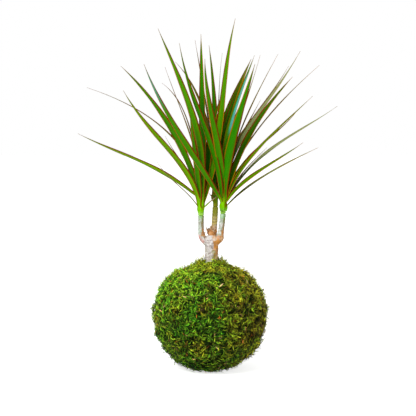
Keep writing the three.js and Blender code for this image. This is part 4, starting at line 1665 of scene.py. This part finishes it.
@dataclass
class Crown:
    """One crown: a shoot and all the blades that grow from it."""

    name: str
    cane_top: Point
    rows: list[BladeRow]
    looks: list[Look]
    bearing: float
    spread: float
    hidden: int
    seed: int
    radii: Span
    paint: BladePaint
    gap: float = 0.3
    root_offset: float = 1.2
    fan_length: Span = (70, 110)
    fan_rise: Span = (60, 80)
    fan_width: Span = (6, 8.5)
    fan_arch: float = 16
    fan_steepest: float = 84
    fan_stray: float = 3
    fan_root_height: float = 10
    front: float = -12
    front_start: float = 3.5
    rim_reach: Span = (2, 9)

    @property
    def foot(self) -> Array:
        """The middle of the shoot's foot."""
        return np.array(self.cane_top, float) + UP * self.gap

    def listed(self) -> list[Blade]:
        """The blades that the front view shows. The sheaths of the front ones all start level."""
        foot, blades = self.foot, []
        for (height, *ends, width, show), look in zip(self.rows, self.looks, strict=True):
            lower, upper, tip = (np.array(point, float) for point in ends)
            outward = unit((lower - foot) * LEVEL)
            root = np.array([foot[0], foot[1], height]) + outward * self.root_offset
            blade = Blade(root, lower, upper, tip, width, show, foot, 0.0, look)
            if lower[1] < self.front:
                blade.sheath_length = height - foot[2] - self.front_start
            blades.append(blade)
        return blades

    def fan(self) -> list[Blade]:
        """The blades on the far side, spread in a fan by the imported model's draws."""
        draws = seeded_draws(self.seed)

        def between(low: float, high: float) -> float:
            """A draw between two bounds."""
            return low + (high - low) * next(draws)

        start = self.foot + UP * self.fan_root_height
        blades = []
        for i in range(self.hidden):
            heading = self.bearing + self.spread * ((i + 0.5) / self.hidden - 0.5)
            heading += between(-self.fan_stray, self.fan_stray)
            length = between(*self.fan_length)
            rise = between(*self.fan_rise)
            width = between(*self.fan_width)
            steep = min(self.fan_steepest, rise + self.fan_arch)
            steps = (
                (self.root_offset, rise), (length / 3, steep), (2 * length / 3, (rise + steep) / 2),
                (length, rise),
            )
            ends = [start + distance * heading_vector(heading, slope) for distance, slope in steps]
            # painted shade: the far-side blades are darker
            look = Look(0.2 + 0.04 * i, 0.62)
            blades.append(Blade(*ends, width, Turned.LEVEL, self.foot, 0.0, look))
        return blades

    def build(self, blade_material: Material) -> None:
        """Builds the crown's blades as one piece and its shoot as another.

        Args:
            blade_material: The blades' material.
        """
        rng = default_rng(self.seed)
        shoot = Shoot(self.foot, *self.radii)
        blades = self.listed() + self.fan()
        for rank, blade in enumerate(sorted(blades, key=Blade.outermost_last)):
            blade.layer = rank / len(blades)
        sheaf = Sheaf()
        for number, blade in enumerate(blades):
            points, faces, blade_map, edges, travelled = blade.body(rng, shoot)
            sheaf.add(
                points,
                faces,
                **{BAKE_MAP: bake_place(blade_map, number, len(blades))},
                blade=blade_map,
                ground=self.paint.ground(blade.look, blade_map, travelled),
                blade_edge=edges,
                rim=blade.look.rim * smoothstep(*self.rim_reach, travelled),
                blade_number=np.full(len(points), float(number + self.seed)),
            )
        sheaf.piece(f"blades_{self.name}", Slot.LEAF, blade_material, f"leaf_crown_{self.name}")
        shoot_finish = ShootFinish(f"shoot_{self.name}", self.paint.cuff, self.paint.base)
        self.build_shoot(shoot, shoot_finish.material())

    def build_shoot(self, shoot: Shoot, material: Material) -> None:
        """Builds the shoot, ringed by the scars of old leaves.

        Args:
            shoot: Its sizes.
            material: Its material.
        """
        heights = np.linspace(0, shoot.height, shoot.rings)
        angles = np.arange(shoot.sides) / shoot.sides * 2 * math.pi
        scars = shoot.scar_relief * np.exp(-((((heights / shoot.scar_pitch) % 1 - 0.5) / 0.14) ** 2))
        radii = shoot.radius_at(shoot.foot[2] + heights) - shoot.inset + scars
        reach = radii[:, None] * (1 + 0.02 * np.sin(3 * angles + heights[:, None] * 0.4))
        x, y, z = shoot.foot
        high = np.broadcast_to(z + heights[:, None], reach.shape)
        points = np.stack([x + reach * np.cos(angles), y + reach * np.sin(angles), high], 2)
        around = np.tile(np.minimum(angles, 2 * math.pi - angles) / math.pi, shoot.rings)
        place = np.stack([around, np.repeat(heights / shoot.height, shoot.sides)], 1)
        cells = ring_cells(shoot.rings, shoot.sides)
        sheaf = Sheaf()
        sheaf.add(points.reshape(-1, 3), cells, **{BAKE_MAP: place * 0.96 + 0.02}, shoot=place)
        sheaf.piece(f"shoot_{self.name}", Slot.LEAF, material)


def heading_vector(bearing: float, rise: float) -> Array:
    """The unit vector at a bearing and a rise, both in degrees."""
    turn, slope = math.radians(bearing), math.radians(rise)
    return np.array([math.cos(slope) * math.cos(turn), math.cos(slope) * math.sin(turn), math.sin(slope)])


@dataclass(frozen=True)
class ShootFinish:
    """A shoot: pale at its foot, then the colour of its sheaths, then green."""

    name: str
    foot: Colour
    sheath: Colour
    green: Colour = screen(52, 122, 4)
    scar: Colour = screen(104, 110, 30)

    def material(self) -> Material:
        """The shoot's material.

        Returns:
            The material.
        """
        surface = Surface(self.name)
        across, along = surface.map("shoot")
        stops = [
            (0.0, self.foot), (0.06, self.foot), (0.2, self.sheath), (0.5, self.green), (1.0, self.green),
        ]
        lined = surface.group(
            streak_effect(), Ground=surface.ramp(along, stops), Line=self.green, Across=across, Along=along,
            Number=1.0, Lines=30.0, Strength=0.3,
        ).outputs["Colour"]
        blotched = surface.group(
            mottle_effect(), Ground=lined, Blotch=self.scar, Scale=500.0, Cover=0.15, Detail=3.0
        ).outputs["Colour"]
        return surface.finished(blotched, 0.5, 0.1)


@dataclass(frozen=True)
class Cane:
    """One thin cane: its route up from inside the trunk, and its radius."""

    name: str
    route: tuple[Point, ...]
    radius: float

    def line(self, samples: int = 90) -> Array:
        """The cane's middle line in even steps.

        Args:
            samples: How many points it has.

        Returns:
            The points.
        """
        knots = np.array(self.route, float)
        ends = np.concatenate([[2 * knots[0] - knots[1]], knots, [2 * knots[-1] - knots[-2]]])
        stretches = [self.stretch(ends[i - 1:i + 3]) for i in range(1, len(ends) - 2)]
        dense = np.concatenate([*stretches, knots[-1:]])
        travelled = path_lengths(dense)
        even = np.linspace(0, travelled[-1], samples)
        return np.stack([np.interp(even, travelled, dense[:, axis]) for axis in range(3)], 1)

    @staticmethod
    def stretch(knots: Array, steps: int = 24) -> Array:
        """The centripetal curve between the middle two of four knots.

        Args:
            knots: The four knots.
            steps: How many points it gives.

        Returns:
            The points, without the last knot.
        """
        times = [0.0]
        for first, second in zip(knots[:-1], knots[1:], strict=True):
            times.append(times[-1] + math.sqrt(np.linalg.norm(second - first)))
        t0, t1, t2, t3 = times
        points = []
        for t in np.linspace(t1, t2, steps, endpoint=False):
            a1 = (t1 - t) / (t1 - t0) * knots[0] + (t - t0) / (t1 - t0) * knots[1]
            a2 = (t2 - t) / (t2 - t1) * knots[1] + (t - t1) / (t2 - t1) * knots[2]
            a3 = (t3 - t) / (t3 - t2) * knots[2] + (t - t2) / (t3 - t2) * knots[3]
            b1 = (t2 - t) / (t2 - t0) * a1 + (t - t0) / (t2 - t0) * a2
            b2 = (t3 - t) / (t3 - t1) * a2 + (t - t1) / (t3 - t1) * a3
            points.append((t2 - t) / (t2 - t1) * b1 + (t - t1) / (t2 - t1) * b2)
        return np.array(points)


CANES = (
    Cane(
        "left",
        ((-1, -0.5, 127), (-5.6, -1, 130.5), (-8.5, -1, 136.5), (-9, -1, 144), (-9, -1, 155.5)),
        2.9,
    ),
    Cane(
        "right",
        ((4, -1, 127), (7.6, -1.6, 130.5), (10.2, -2, 135.5), (11.4, -2, 143), (13, -2, 157.5)),
        2.9,
    ),
    Cane("back", ((2, 3, 126), (3, 5.5, 133), (4.2, 7.6, 142), (4.8, 8, 151), (5.5, 8, 163.5)), 2.9),
)


@dataclass(frozen=True)
class CanePlaces:
    """Where each point of the bark lies.

    It holds the share of the point that is cane, how far up its cane it lies, how far to the
    right on it, from -1 to 1, and whether that is the cane at the back.
    """

    on_cane: Array
    travelled: Array
    aside: Array
    behind: Array


@dataclass
class Stem:
    """The trunk and its three canes, grown as one, with stains and painted shade on pale bark."""

    trunk_radius: float = 6.6
    trunk_x: float = 1.6
    trunk_foot: float = 84.3
    trunk_top: float = 136.0
    top_rounding: float = 3.6
    peg_top: float = 110.0
    gap: float = 0.3
    bark_relief: float = 0.35
    lumps: tuple[tuple[int, float], ...] = ((3, 0.31), (5, -0.52))
    trunk_sides: int = 48
    cane_sides: int = 28
    voxel: float = 0.42
    scar_pitch: float = 3.2
    scar_relief: float = 0.24
    cane_swell: float = 0.7

    def tube(self, middles: Array, radii: Array, sides: int) -> tuple[Array, list]:
        """A closed tube round a line.

        Args:
            middles: The line's points.
            radii: The radius at each point, or at each point and side.
            sides: How many sides it has.

        Returns:
            Its points and its faces.
        """
        ways = unit(np.gradient(middles, axis=0))
        aside = unit(np.cross(TO_BACK, ways))
        ahead = np.cross(ways, aside)
        angles = np.arange(sides) / sides * 2 * math.pi
        radii = np.broadcast_to(radii if radii.ndim > 1 else radii[:, None], (len(middles), sides))
        cosines, sines = np.cos(angles)[:, None], np.sin(angles)[:, None]
        out = aside[:, None] * cosines + ahead[:, None] * sines
        points = middles[:, None] + out * radii[..., None]
        return points.reshape(-1, 3), ring_cells(len(middles), sides)

    def rough_form(self) -> Mesh:
        """The trunk and canes as separate closed bodies in one mesh."""
        sheaf = Sheaf()
        heights = np.arange(self.trunk_foot, self.trunk_top + 0.01, 0.9)
        angles = np.arange(self.trunk_sides) / self.trunk_sides * 2 * math.pi
        wave = sum(np.sin(lobes * angles + turn * heights[:, None]) for lobes, turn in self.lumps)
        above = smoothstep(self.peg_top, self.peg_top + 2, heights)[:, None]
        rounding = np.maximum(0, heights - self.trunk_top + 6)[:, None] / 6
        radii = self.trunk_radius - self.gap * (1 - above) + self.bark_relief * wave * above
        radii = radii - self.top_rounding * rounding ** 2
        middles = np.stack([np.full(len(heights), self.trunk_x), np.zeros(len(heights)), heights], 1)
        sheaf.add(*self.tube(middles, radii, self.trunk_sides))
        for cane in CANES:
            line = cane.line()
            radii = cane.radius + self.cane_swell * smoothstep(141, 134, line[:, 2])
            sheaf.add(*self.tube(line, radii, self.cane_sides))
        return sheaf.mesh("stem form")

    def welded(self) -> Mesh:
        """The trunk and canes grown together, with soft forks."""
        rough = add_object("stem form", self.rough_form())
        remesh = rough.modifiers.new("grow together", "REMESH")
        remesh.mode, remesh.voxel_size = "VOXEL", self.voxel * MM
        soften = rough.modifiers.new("soften", "SMOOTH")
        soften.factor, soften.iterations = 0.5, 5
        graph = bpy.context.evaluated_depsgraph_get()
        mesh = bpy.data.meshes.new_from_object(rough.evaluated_get(graph))
        mesh.name = "trunk_and_canes"
        bpy.data.objects.remove(rough)
        return mesh

    def build(self) -> None:
        """Builds the trunk and canes with their bark."""
        mesh = self.welded()
        points, normals = np.empty((2, len(mesh.vertices) * 3), np.float32)
        mesh.vertices.foreach_get("co", points)
        mesh.vertices.foreach_get("normal", normals)
        points = points.reshape(-1, 3).astype(float) / MM
        normals = normals.reshape(-1, 3).astype(float)
        places = self.cane_places(points)
        relief = self.scar_ridges(places.travelled) * places.on_cane
        relief += self.bark_lumps(points) * (1 - places.on_cane)
        relief *= smoothstep(self.peg_top - 2, self.peg_top + 3, points[:, 2])
        moved = points + normals * relief[:, None]
        moved[:, 2] = np.minimum(moved[:, 2], self.tops(points))
        mesh.vertices.foreach_set("co", (moved * MM).astype(np.float32).ravel())
        stained, chalky = self.stain_and_shade_colours(moved, places)
        # the stain mark also holds painted shade on the right side
        mark_points(mesh, "stain", stained)
        mark_points(mesh, "chalk", chalky)
        mesh.shade_smooth()
        make_piece(mesh, Slot.BARK, BarkFinish().material(), "woody_stem")

    def tops(self, points: Array) -> Array:
        """The height that each point may not pass, which is its cane's top."""
        tops = np.array([cane.line()[-1] for cane in CANES])
        away = [np.hypot(points[:, 0] - top[0], points[:, 1] - top[1]) for top in tops]
        level, heights = np.stack(away), tops[:, 2]
        return np.where(points[:, 2] > 150, heights[level.argmin(axis=0)], points[:, 2] + 1)

    def cane_places(self, points: Array) -> CanePlaces:
        """Tells the canes from the trunk.

        Args:
            points: The bark's points.

        Returns:
            Where each of them lies.
        """
        nearest = np.full(len(points), np.inf)
        travelled, aside, behind = np.zeros((3, len(points)))
        for cane in CANES:
            line = cane.line()
            step = np.linalg.norm(line[1] - line[0])
            away = np.linalg.norm(points[:, None] - line[None], axis=2)
            row = away.argmin(axis=1)
            distance = away[np.arange(len(points)), row] - cane.radius
            closer = distance < nearest
            nearest = np.where(closer, distance, nearest)
            travelled = np.where(closer, row * step, travelled)
            aside = np.where(closer, (points[:, 0] - line[row, 0]) / cane.radius, aside)
            behind = np.where(closer, cane.name == "back", behind)
        above = smoothstep(131, 137.5, points[:, 2])
        return CanePlaces(above * smoothstep(1.6, 0.5, nearest), travelled, aside, behind)

    def scar_ridges(self, travelled: Array) -> Array:
        """The raised rings that old leaves left on the canes."""
        phase = (travelled / self.scar_pitch) % 1
        minor = (travelled / self.scar_pitch * 2 + 0.3) % 1
        ridge = np.exp(-(((phase - 0.5) / 0.13) ** 2))
        return self.scar_relief * (ridge + 0.4 * np.exp(-(((minor - 0.5) / 0.16) ** 2)) - 0.3)

    def bark_lumps(self, points: Array) -> Array:
        """The lumps and cracks of the trunk's bark."""
        broad, fine = points * np.array([0.3, 0.3, 0.16]), points * np.array([0.85, 0.85, 0.22])
        lumps = np.array([noise.fractal(Vector(place), 0.9, 2.1, 4) for place in broad])
        cracks = np.array([noise.noise(Vector(place)) for place in fine])
        return 0.55 * lumps - 0.5 * np.exp(-((cracks / 0.09) ** 2)) * 0.6

    def stain_and_shade_colours(self, points: Array, places: CanePlaces) -> tuple[Array, Array]:
        """The bark's own colours before its fine specks, with painted shade down the right side of the
        canes and the trunk's right edge.

        Args:
            points: The bark's points.
            places: Where each of them lies.

        Returns:
            The colours, and how chalky the bark is.
        """
        colours = np.tile(np.array(screen(208, 200, 194)), (len(points), 1))
        chalk = np.ones(len(points))

        def cover(share: Array, colour: Colour, chalky: float = 1.0) -> None:
            """Lays a share of a colour over the bark."""
            nonlocal colours, chalk
            colours = colours + (np.array(colour) - colours) * share[:, None]
            chalk = chalk + (chalky - chalk) * share

        z, on_cane, behind = points[:, 2], places.on_cane, places.behind
        scars = places.travelled / self.scar_pitch
        drift = clouds(points, 5, 61)
        fine = clouds(points, 2.2, 62)
        cover(on_cane, screen(188, 204, 186), 0.8)
        bearing = np.arctan2(points[:, 1], points[:, 0] - self.trunk_x)
        to_right = smoothstep(0.3, 0.62, np.cos(bearing + 0.25) + 0.12 * drift + 0.08 * fine)
        cover(to_right * (1 - on_cane) * smoothstep(139, 133, z), screen(218, 150, 68), 0.4)
        # painted shade: a brown band down the trunk's right edge, away from the light
        edge = smoothstep(0.8, 1.0, np.cos(bearing - 0.1)) * (1 - on_cane)
        cover(0.5 * edge, screen(150, 92, 30), 0.1)
        rings = np.exp(-(((scars % 1 - 0.72) / 0.12) ** 2)) * on_cane
        cover(0.5 * rings, screen(120, 112, 60), 0.3)
        # painted shade: the canes' right sides, away from the light, dashed olive-brown, greener near the
        # top and orange near the foot
        side = smoothstep(-0.05, 0.4, places.aside + 0.15 * fine) * on_cane * (1 - behind)
        dashes = smoothstep(-0.6, 0.2, np.sin(scars * 4 * math.pi + 2 * drift))
        cover(side * (0.62 + 0.36 * dashes), screen(132, 100, 20), 0.05)
        cover(0.6 * side * smoothstep(147, 154, z), screen(112, 150, 24), 0.0)
        cover(0.8 * side * smoothstep(146, 139, z), screen(206, 132, 58), 0.1)
        cover(on_cane * behind, screen(204, 184, 104), 0.15)
        bands = smoothstep(-0.1, 0.5, np.sin(scars * 2 * math.pi + drift))
        cover(0.5 * bands * on_cane * behind, screen(120, 104, 36), 0.1)
        cover(0.85 * behind * smoothstep(151, 158, z), screen(150, 154, 20), 0.0)
        low_back = behind * smoothstep(148, 143, z) * smoothstep(135, 139, z)
        cover(0.8 * low_back, screen(214, 176, 124), 0.5)
        for stain in self.stains():
            cover(stain.share(points), stain.colour, 0.35)
        return np.clip(colours, 0, 1), chalk

    def stains(self) -> list[Stain]:
        """The stains that the front view shows on the bark."""
        brown, cream, pit = screen(150, 92, 40), screen(238, 214, 184), screen(104, 66, 44)
        pink, white = screen(230, 166, 156), screen(236, 232, 228)
        lichen, green = screen(150, 150, 84), screen(96, 124, 30)
        patches = (
            ((-11.5, -2, 133.5), 3.6, pink, 0.9),
            ((-7.6, -3, 130), 2.6, pink, 0.8),
            ((-6.3, -2.2, 137.5), 2.2, brown, 0.8),
            ((-10, -4, 154.5), 2.8, screen(140, 196, 116), 0.8),
            ((12, -4.8, 155.5), 3.4, screen(140, 204, 140), 0.8),
            ((11, -5, 147), 2.0, white, 0.6),
            ((8.5, -5, 134), 2.6, screen(224, 156, 92), 0.8),
            ((5, -5.6, 132.6), 2.4, cream, 0.8),
            ((3.6, -6.4, 119.5), 2.4, lichen, 0.85),
            ((5, -6, 115), 3.0, screen(150, 138, 60), 0.7),
            ((-0.5, -6.6, 121), 2.6, white, 0.6),
            ((-1, -5, 134), 3.2, white, 0.7),
            ((-4.6, -3.5, 121), 2.0, screen(176, 178, 132), 0.6),
            ((7, -4, 111), 3.0, green, 0.6),
            ((-0.8, -6.2, 133.8), 0.9, pit, 0.8),
            ((0.6, -6.4, 125.8), 1.0, pit, 0.8),
            ((2.4, -6.6, 123.4), 1.0, pit, 0.8),
            ((-3.0, -5.2, 128.6), 0.7, pit, 0.8),
        )
        return [Stain(*patch) for patch in patches]


@dataclass(frozen=True)
class Collar:
    """The dry papery scales of old leaves round the foot of a cane."""

    name: str
    at: Point
    lean: float
    bearings: Span
    count: int
    radius: float
    height: Span
    spread: float
    seed: int
    width: Span = (2.2, 4.2)
    flare: Span = (0.02, 0.42)
    thickness: float = 0.3
    columns: int = 7
    rows: int = 9

    def build(self, material: Material) -> None:
        """Builds all the scales as one piece.

        Args:
            material: Its material.
        """
        rng = default_rng(self.seed)
        turned = np.array(Matrix.Rotation(math.radians(-self.lean), 3, "Y")).T
        sheaf = Sheaf()
        low, high = np.radians(self.bearings)
        for number in range(self.count):
            bearing = low + (high - low) * (number + rng.uniform(0.1, 0.9)) / self.count
            points, cells, place = self.scale(bearing, number, rng)
            packed = bake_place(place, number, self.count)
            standing = points @ turned + np.array(self.at)
            sheaf.add(standing, cells, **{BAKE_MAP: packed}, scale=packed)
        sheaf.piece(f"collar_{self.name}", Slot.BARK, material)

    def scale(
        self, bearing: float, number: int, rng: Generator
    ) -> tuple[Array, list, Array]:
        """One scale: a thin curved shred with a ragged tip that stands off the cane.

        Args:
            bearing: Which way it faces, in radians.
            number: Which scale it is.
            rng: The draws.

        Returns:
            Its points, its faces and its map across and along.
        """
        section = np.linspace(-1, 1, self.columns)
        share = np.linspace(0, 1, self.rows)
        up = share[:, None]
        width, height = rng.uniform(*self.width), rng.uniform(*self.height)
        base = rng.uniform(0, self.spread)
        flare = rng.uniform(*self.flare)
        lean = rng.normal(0, 0.5)
        half = width / 2 * (0.75 + 0.5 * np.sin(share * 2.2)) * (1 - share ** 3 * rng.uniform(0.5, 0.95))
        notch = 1 + 0.14 * np.sin(section * rng.uniform(4, 9) + rng.uniform(0, 6))
        away = (self.radius + 0.12 * (number % 3) + flare * height * share ** 1.6)[:, None]
        angles = bearing + (section * half[:, None] + lean * height * 0.25 * up ** 2) / away
        crinkle = 0.12 * np.sin(section * 6 + up * 5 + rng.uniform(0, 6)) * up
        tall = base + height * up * notch - 0.35 * height * section ** 2 * up
        skins = []
        for inset in (0.0, self.thickness):
            reach = away + crinkle - inset * (1 - 0.5 * up)
            skins.append(np.stack([reach * np.cos(angles), reach * np.sin(angles), tall], 2))
        ring = np.concatenate([skins[0], skins[1][:, ::-1]], 1)
        around = ring.shape[1]
        across = np.concatenate([section, section[::-1]]) / 2 + 0.5
        place = np.stack([np.tile(across, self.rows), np.repeat(share, around)], 1)
        return ring.reshape(-1, 3), ring_cells(self.rows, around), place


COLLARS = (
    Collar("left", (-8.0, -1, 134.6), 14, (-95, 50), 8, 3.3, (1.8, 3.4), 1.4, 4, flare=(0.0, 0.3)),
    Collar("right", (8.7, -2, 129.6), -22, (-170, 60), 13, 3.1, (2.2, 4.2), 4.2, 6, flare=(-0.03, 0.12)),
    Collar(
        "back", (2.3, 5.0, 133.6), 5, (-180, 180), 34, 3.7, (4.2, 8.8), 3.8, 8, (2.2, 4.4), (-0.12, 0.36)
    ),
)

CROWNS = (
    Crown("left", (-9, -1, 155.5), LEFT_BLADES, LEFT_LOOKS, 92, 40, 6, 1, (3.05, 3.3), BladePaint()),
    Crown("right", (13, -2, 157.5), RIGHT_BLADES, RIGHT_LOOKS, 65, 24, 6, 9, (2.9, 2.85), BladePaint()),
    Crown(
        "back", (5.5, 8, 163.5), BACK_BLADES, BACK_LOOKS, 90, 40, 6, 3, (2.75, 2.8),
        BladePaint(base=screen(120, 142, 4), cuff=screen(156, 152, 24)),
    ),
)

INNER_FINISHES = {
    "soil_ball": EarthFinish("soil", screen(58, 40, 26), screen(30, 20, 14), 300.0),
    "root_ball": EarthFinish("roots", screen(176, 142, 96), screen(104, 76, 46), 380.0),
    "binding_thread": EarthFinish("thread", screen(70, 74, 42), screen(38, 44, 24), 900.0),
}


@dataclass
class Studio:
    """A plain pale floor, soft light from the upper left, and a white surround."""

    floor_size: float = 6.0
    floor_colour: Colour = (0.9, 0.9, 0.9)
    floor_glow: float = 0.72
    surround: float = 0.5
    key_power: float = 44.0
    key_size: float = 1.1
    key_place: Point = (-1.1, -1.5, 1.9)
    fill_power: float = 5.0
    fill_size: float = 1.6
    fill_place: Point = (1.7, -1.3, 0.9)

    def build(self) -> None:
        """Builds the floor and the lights, and sets plain screen colours."""
        half = self.floor_size / 2
        mesh = bpy.data.meshes.new("floor")
        corners = [(-half, -half, 0), (half, -half, 0), (half, half, 0), (-half, half, 0)]
        mesh.from_pydata(corners, [], [(0, 1, 2, 3)])
        floor = add_object("floor", mesh)
        mesh.materials.append(self.floor_material())
        self.light("key", self.key_place, self.key_power, self.key_size)
        self.light("fill", self.fill_place, self.fill_power, self.fill_size)
        self.surround_light()
        bpy.context.scene.view_settings.view_transform = "Standard"

    def floor_material(self) -> Material:
        """The floor's material, which the camera sees brighter than it is."""
        surface = Surface("pale floor")
        glow = surface.seen_by_camera(0.0, self.floor_glow)
        values = {
            "Base Color": (*self.floor_colour, 1), "Emission Color": (1, 1, 1, 1), "Roughness": 0.9,
            "Specular IOR Level": 0.0,
        }
        for name, value in values.items():
            surface.shader.inputs[name].default_value = value
        surface.tree.links.new(glow, surface.shader.inputs["Emission Strength"])
        return surface.material

    def surround_light(self) -> None:
        """Lights the scene from all round, and shows white behind it."""
        world = bpy.data.worlds.new("surround")
        bpy.context.scene.world = world
        world.use_nodes = True
        strength = Wiring(world.node_tree).seen_by_camera(self.surround, 1.0)
        background = world.node_tree.nodes["Background"]
        background.inputs["Color"].default_value = (1, 1, 1, 1)
        world.node_tree.links.new(strength, background.inputs["Strength"])

    def light(self, name: str, place: Point, power: float, size: float) -> None:
        """Adds a square lamp that faces the plant.

        Args:
            name: Its name.
            place: Where it stands, in metres.
            power: Its power in watts.
            size: Its side in metres.
        """
        data = bpy.data.lights.new(name, "AREA")
        data.energy, data.size, data.shape = power, size, "SQUARE"
        lamp = add_object(name, data)
        lamp.location = place
        lamp.rotation_euler = (Vector((0, 0, 0.17)) - Vector(place)).to_track_quat("-Z", "Y").to_euler()


def main() -> None:
    """Builds and dresses the whole plant."""
    logging.basicConfig(level=logging.INFO, format="%(name)s %(message)s")
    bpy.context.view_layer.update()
    VIEW.camera()
    Studio().build()
    for node, finish in INNER_FINISHES.items():
        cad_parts[node].data.materials.clear()
        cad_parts[node].data.materials.append(finish.material())
    Moss().build()
    Stem().build()
    paper = PaperFinish().material()
    for collar in COLLARS:
        collar.build(paper)
    blade_material = BladeFinish().material()
    for crown in CROWNS:
        crown.build(blade_material)


if __name__ == "__main__":
    main()
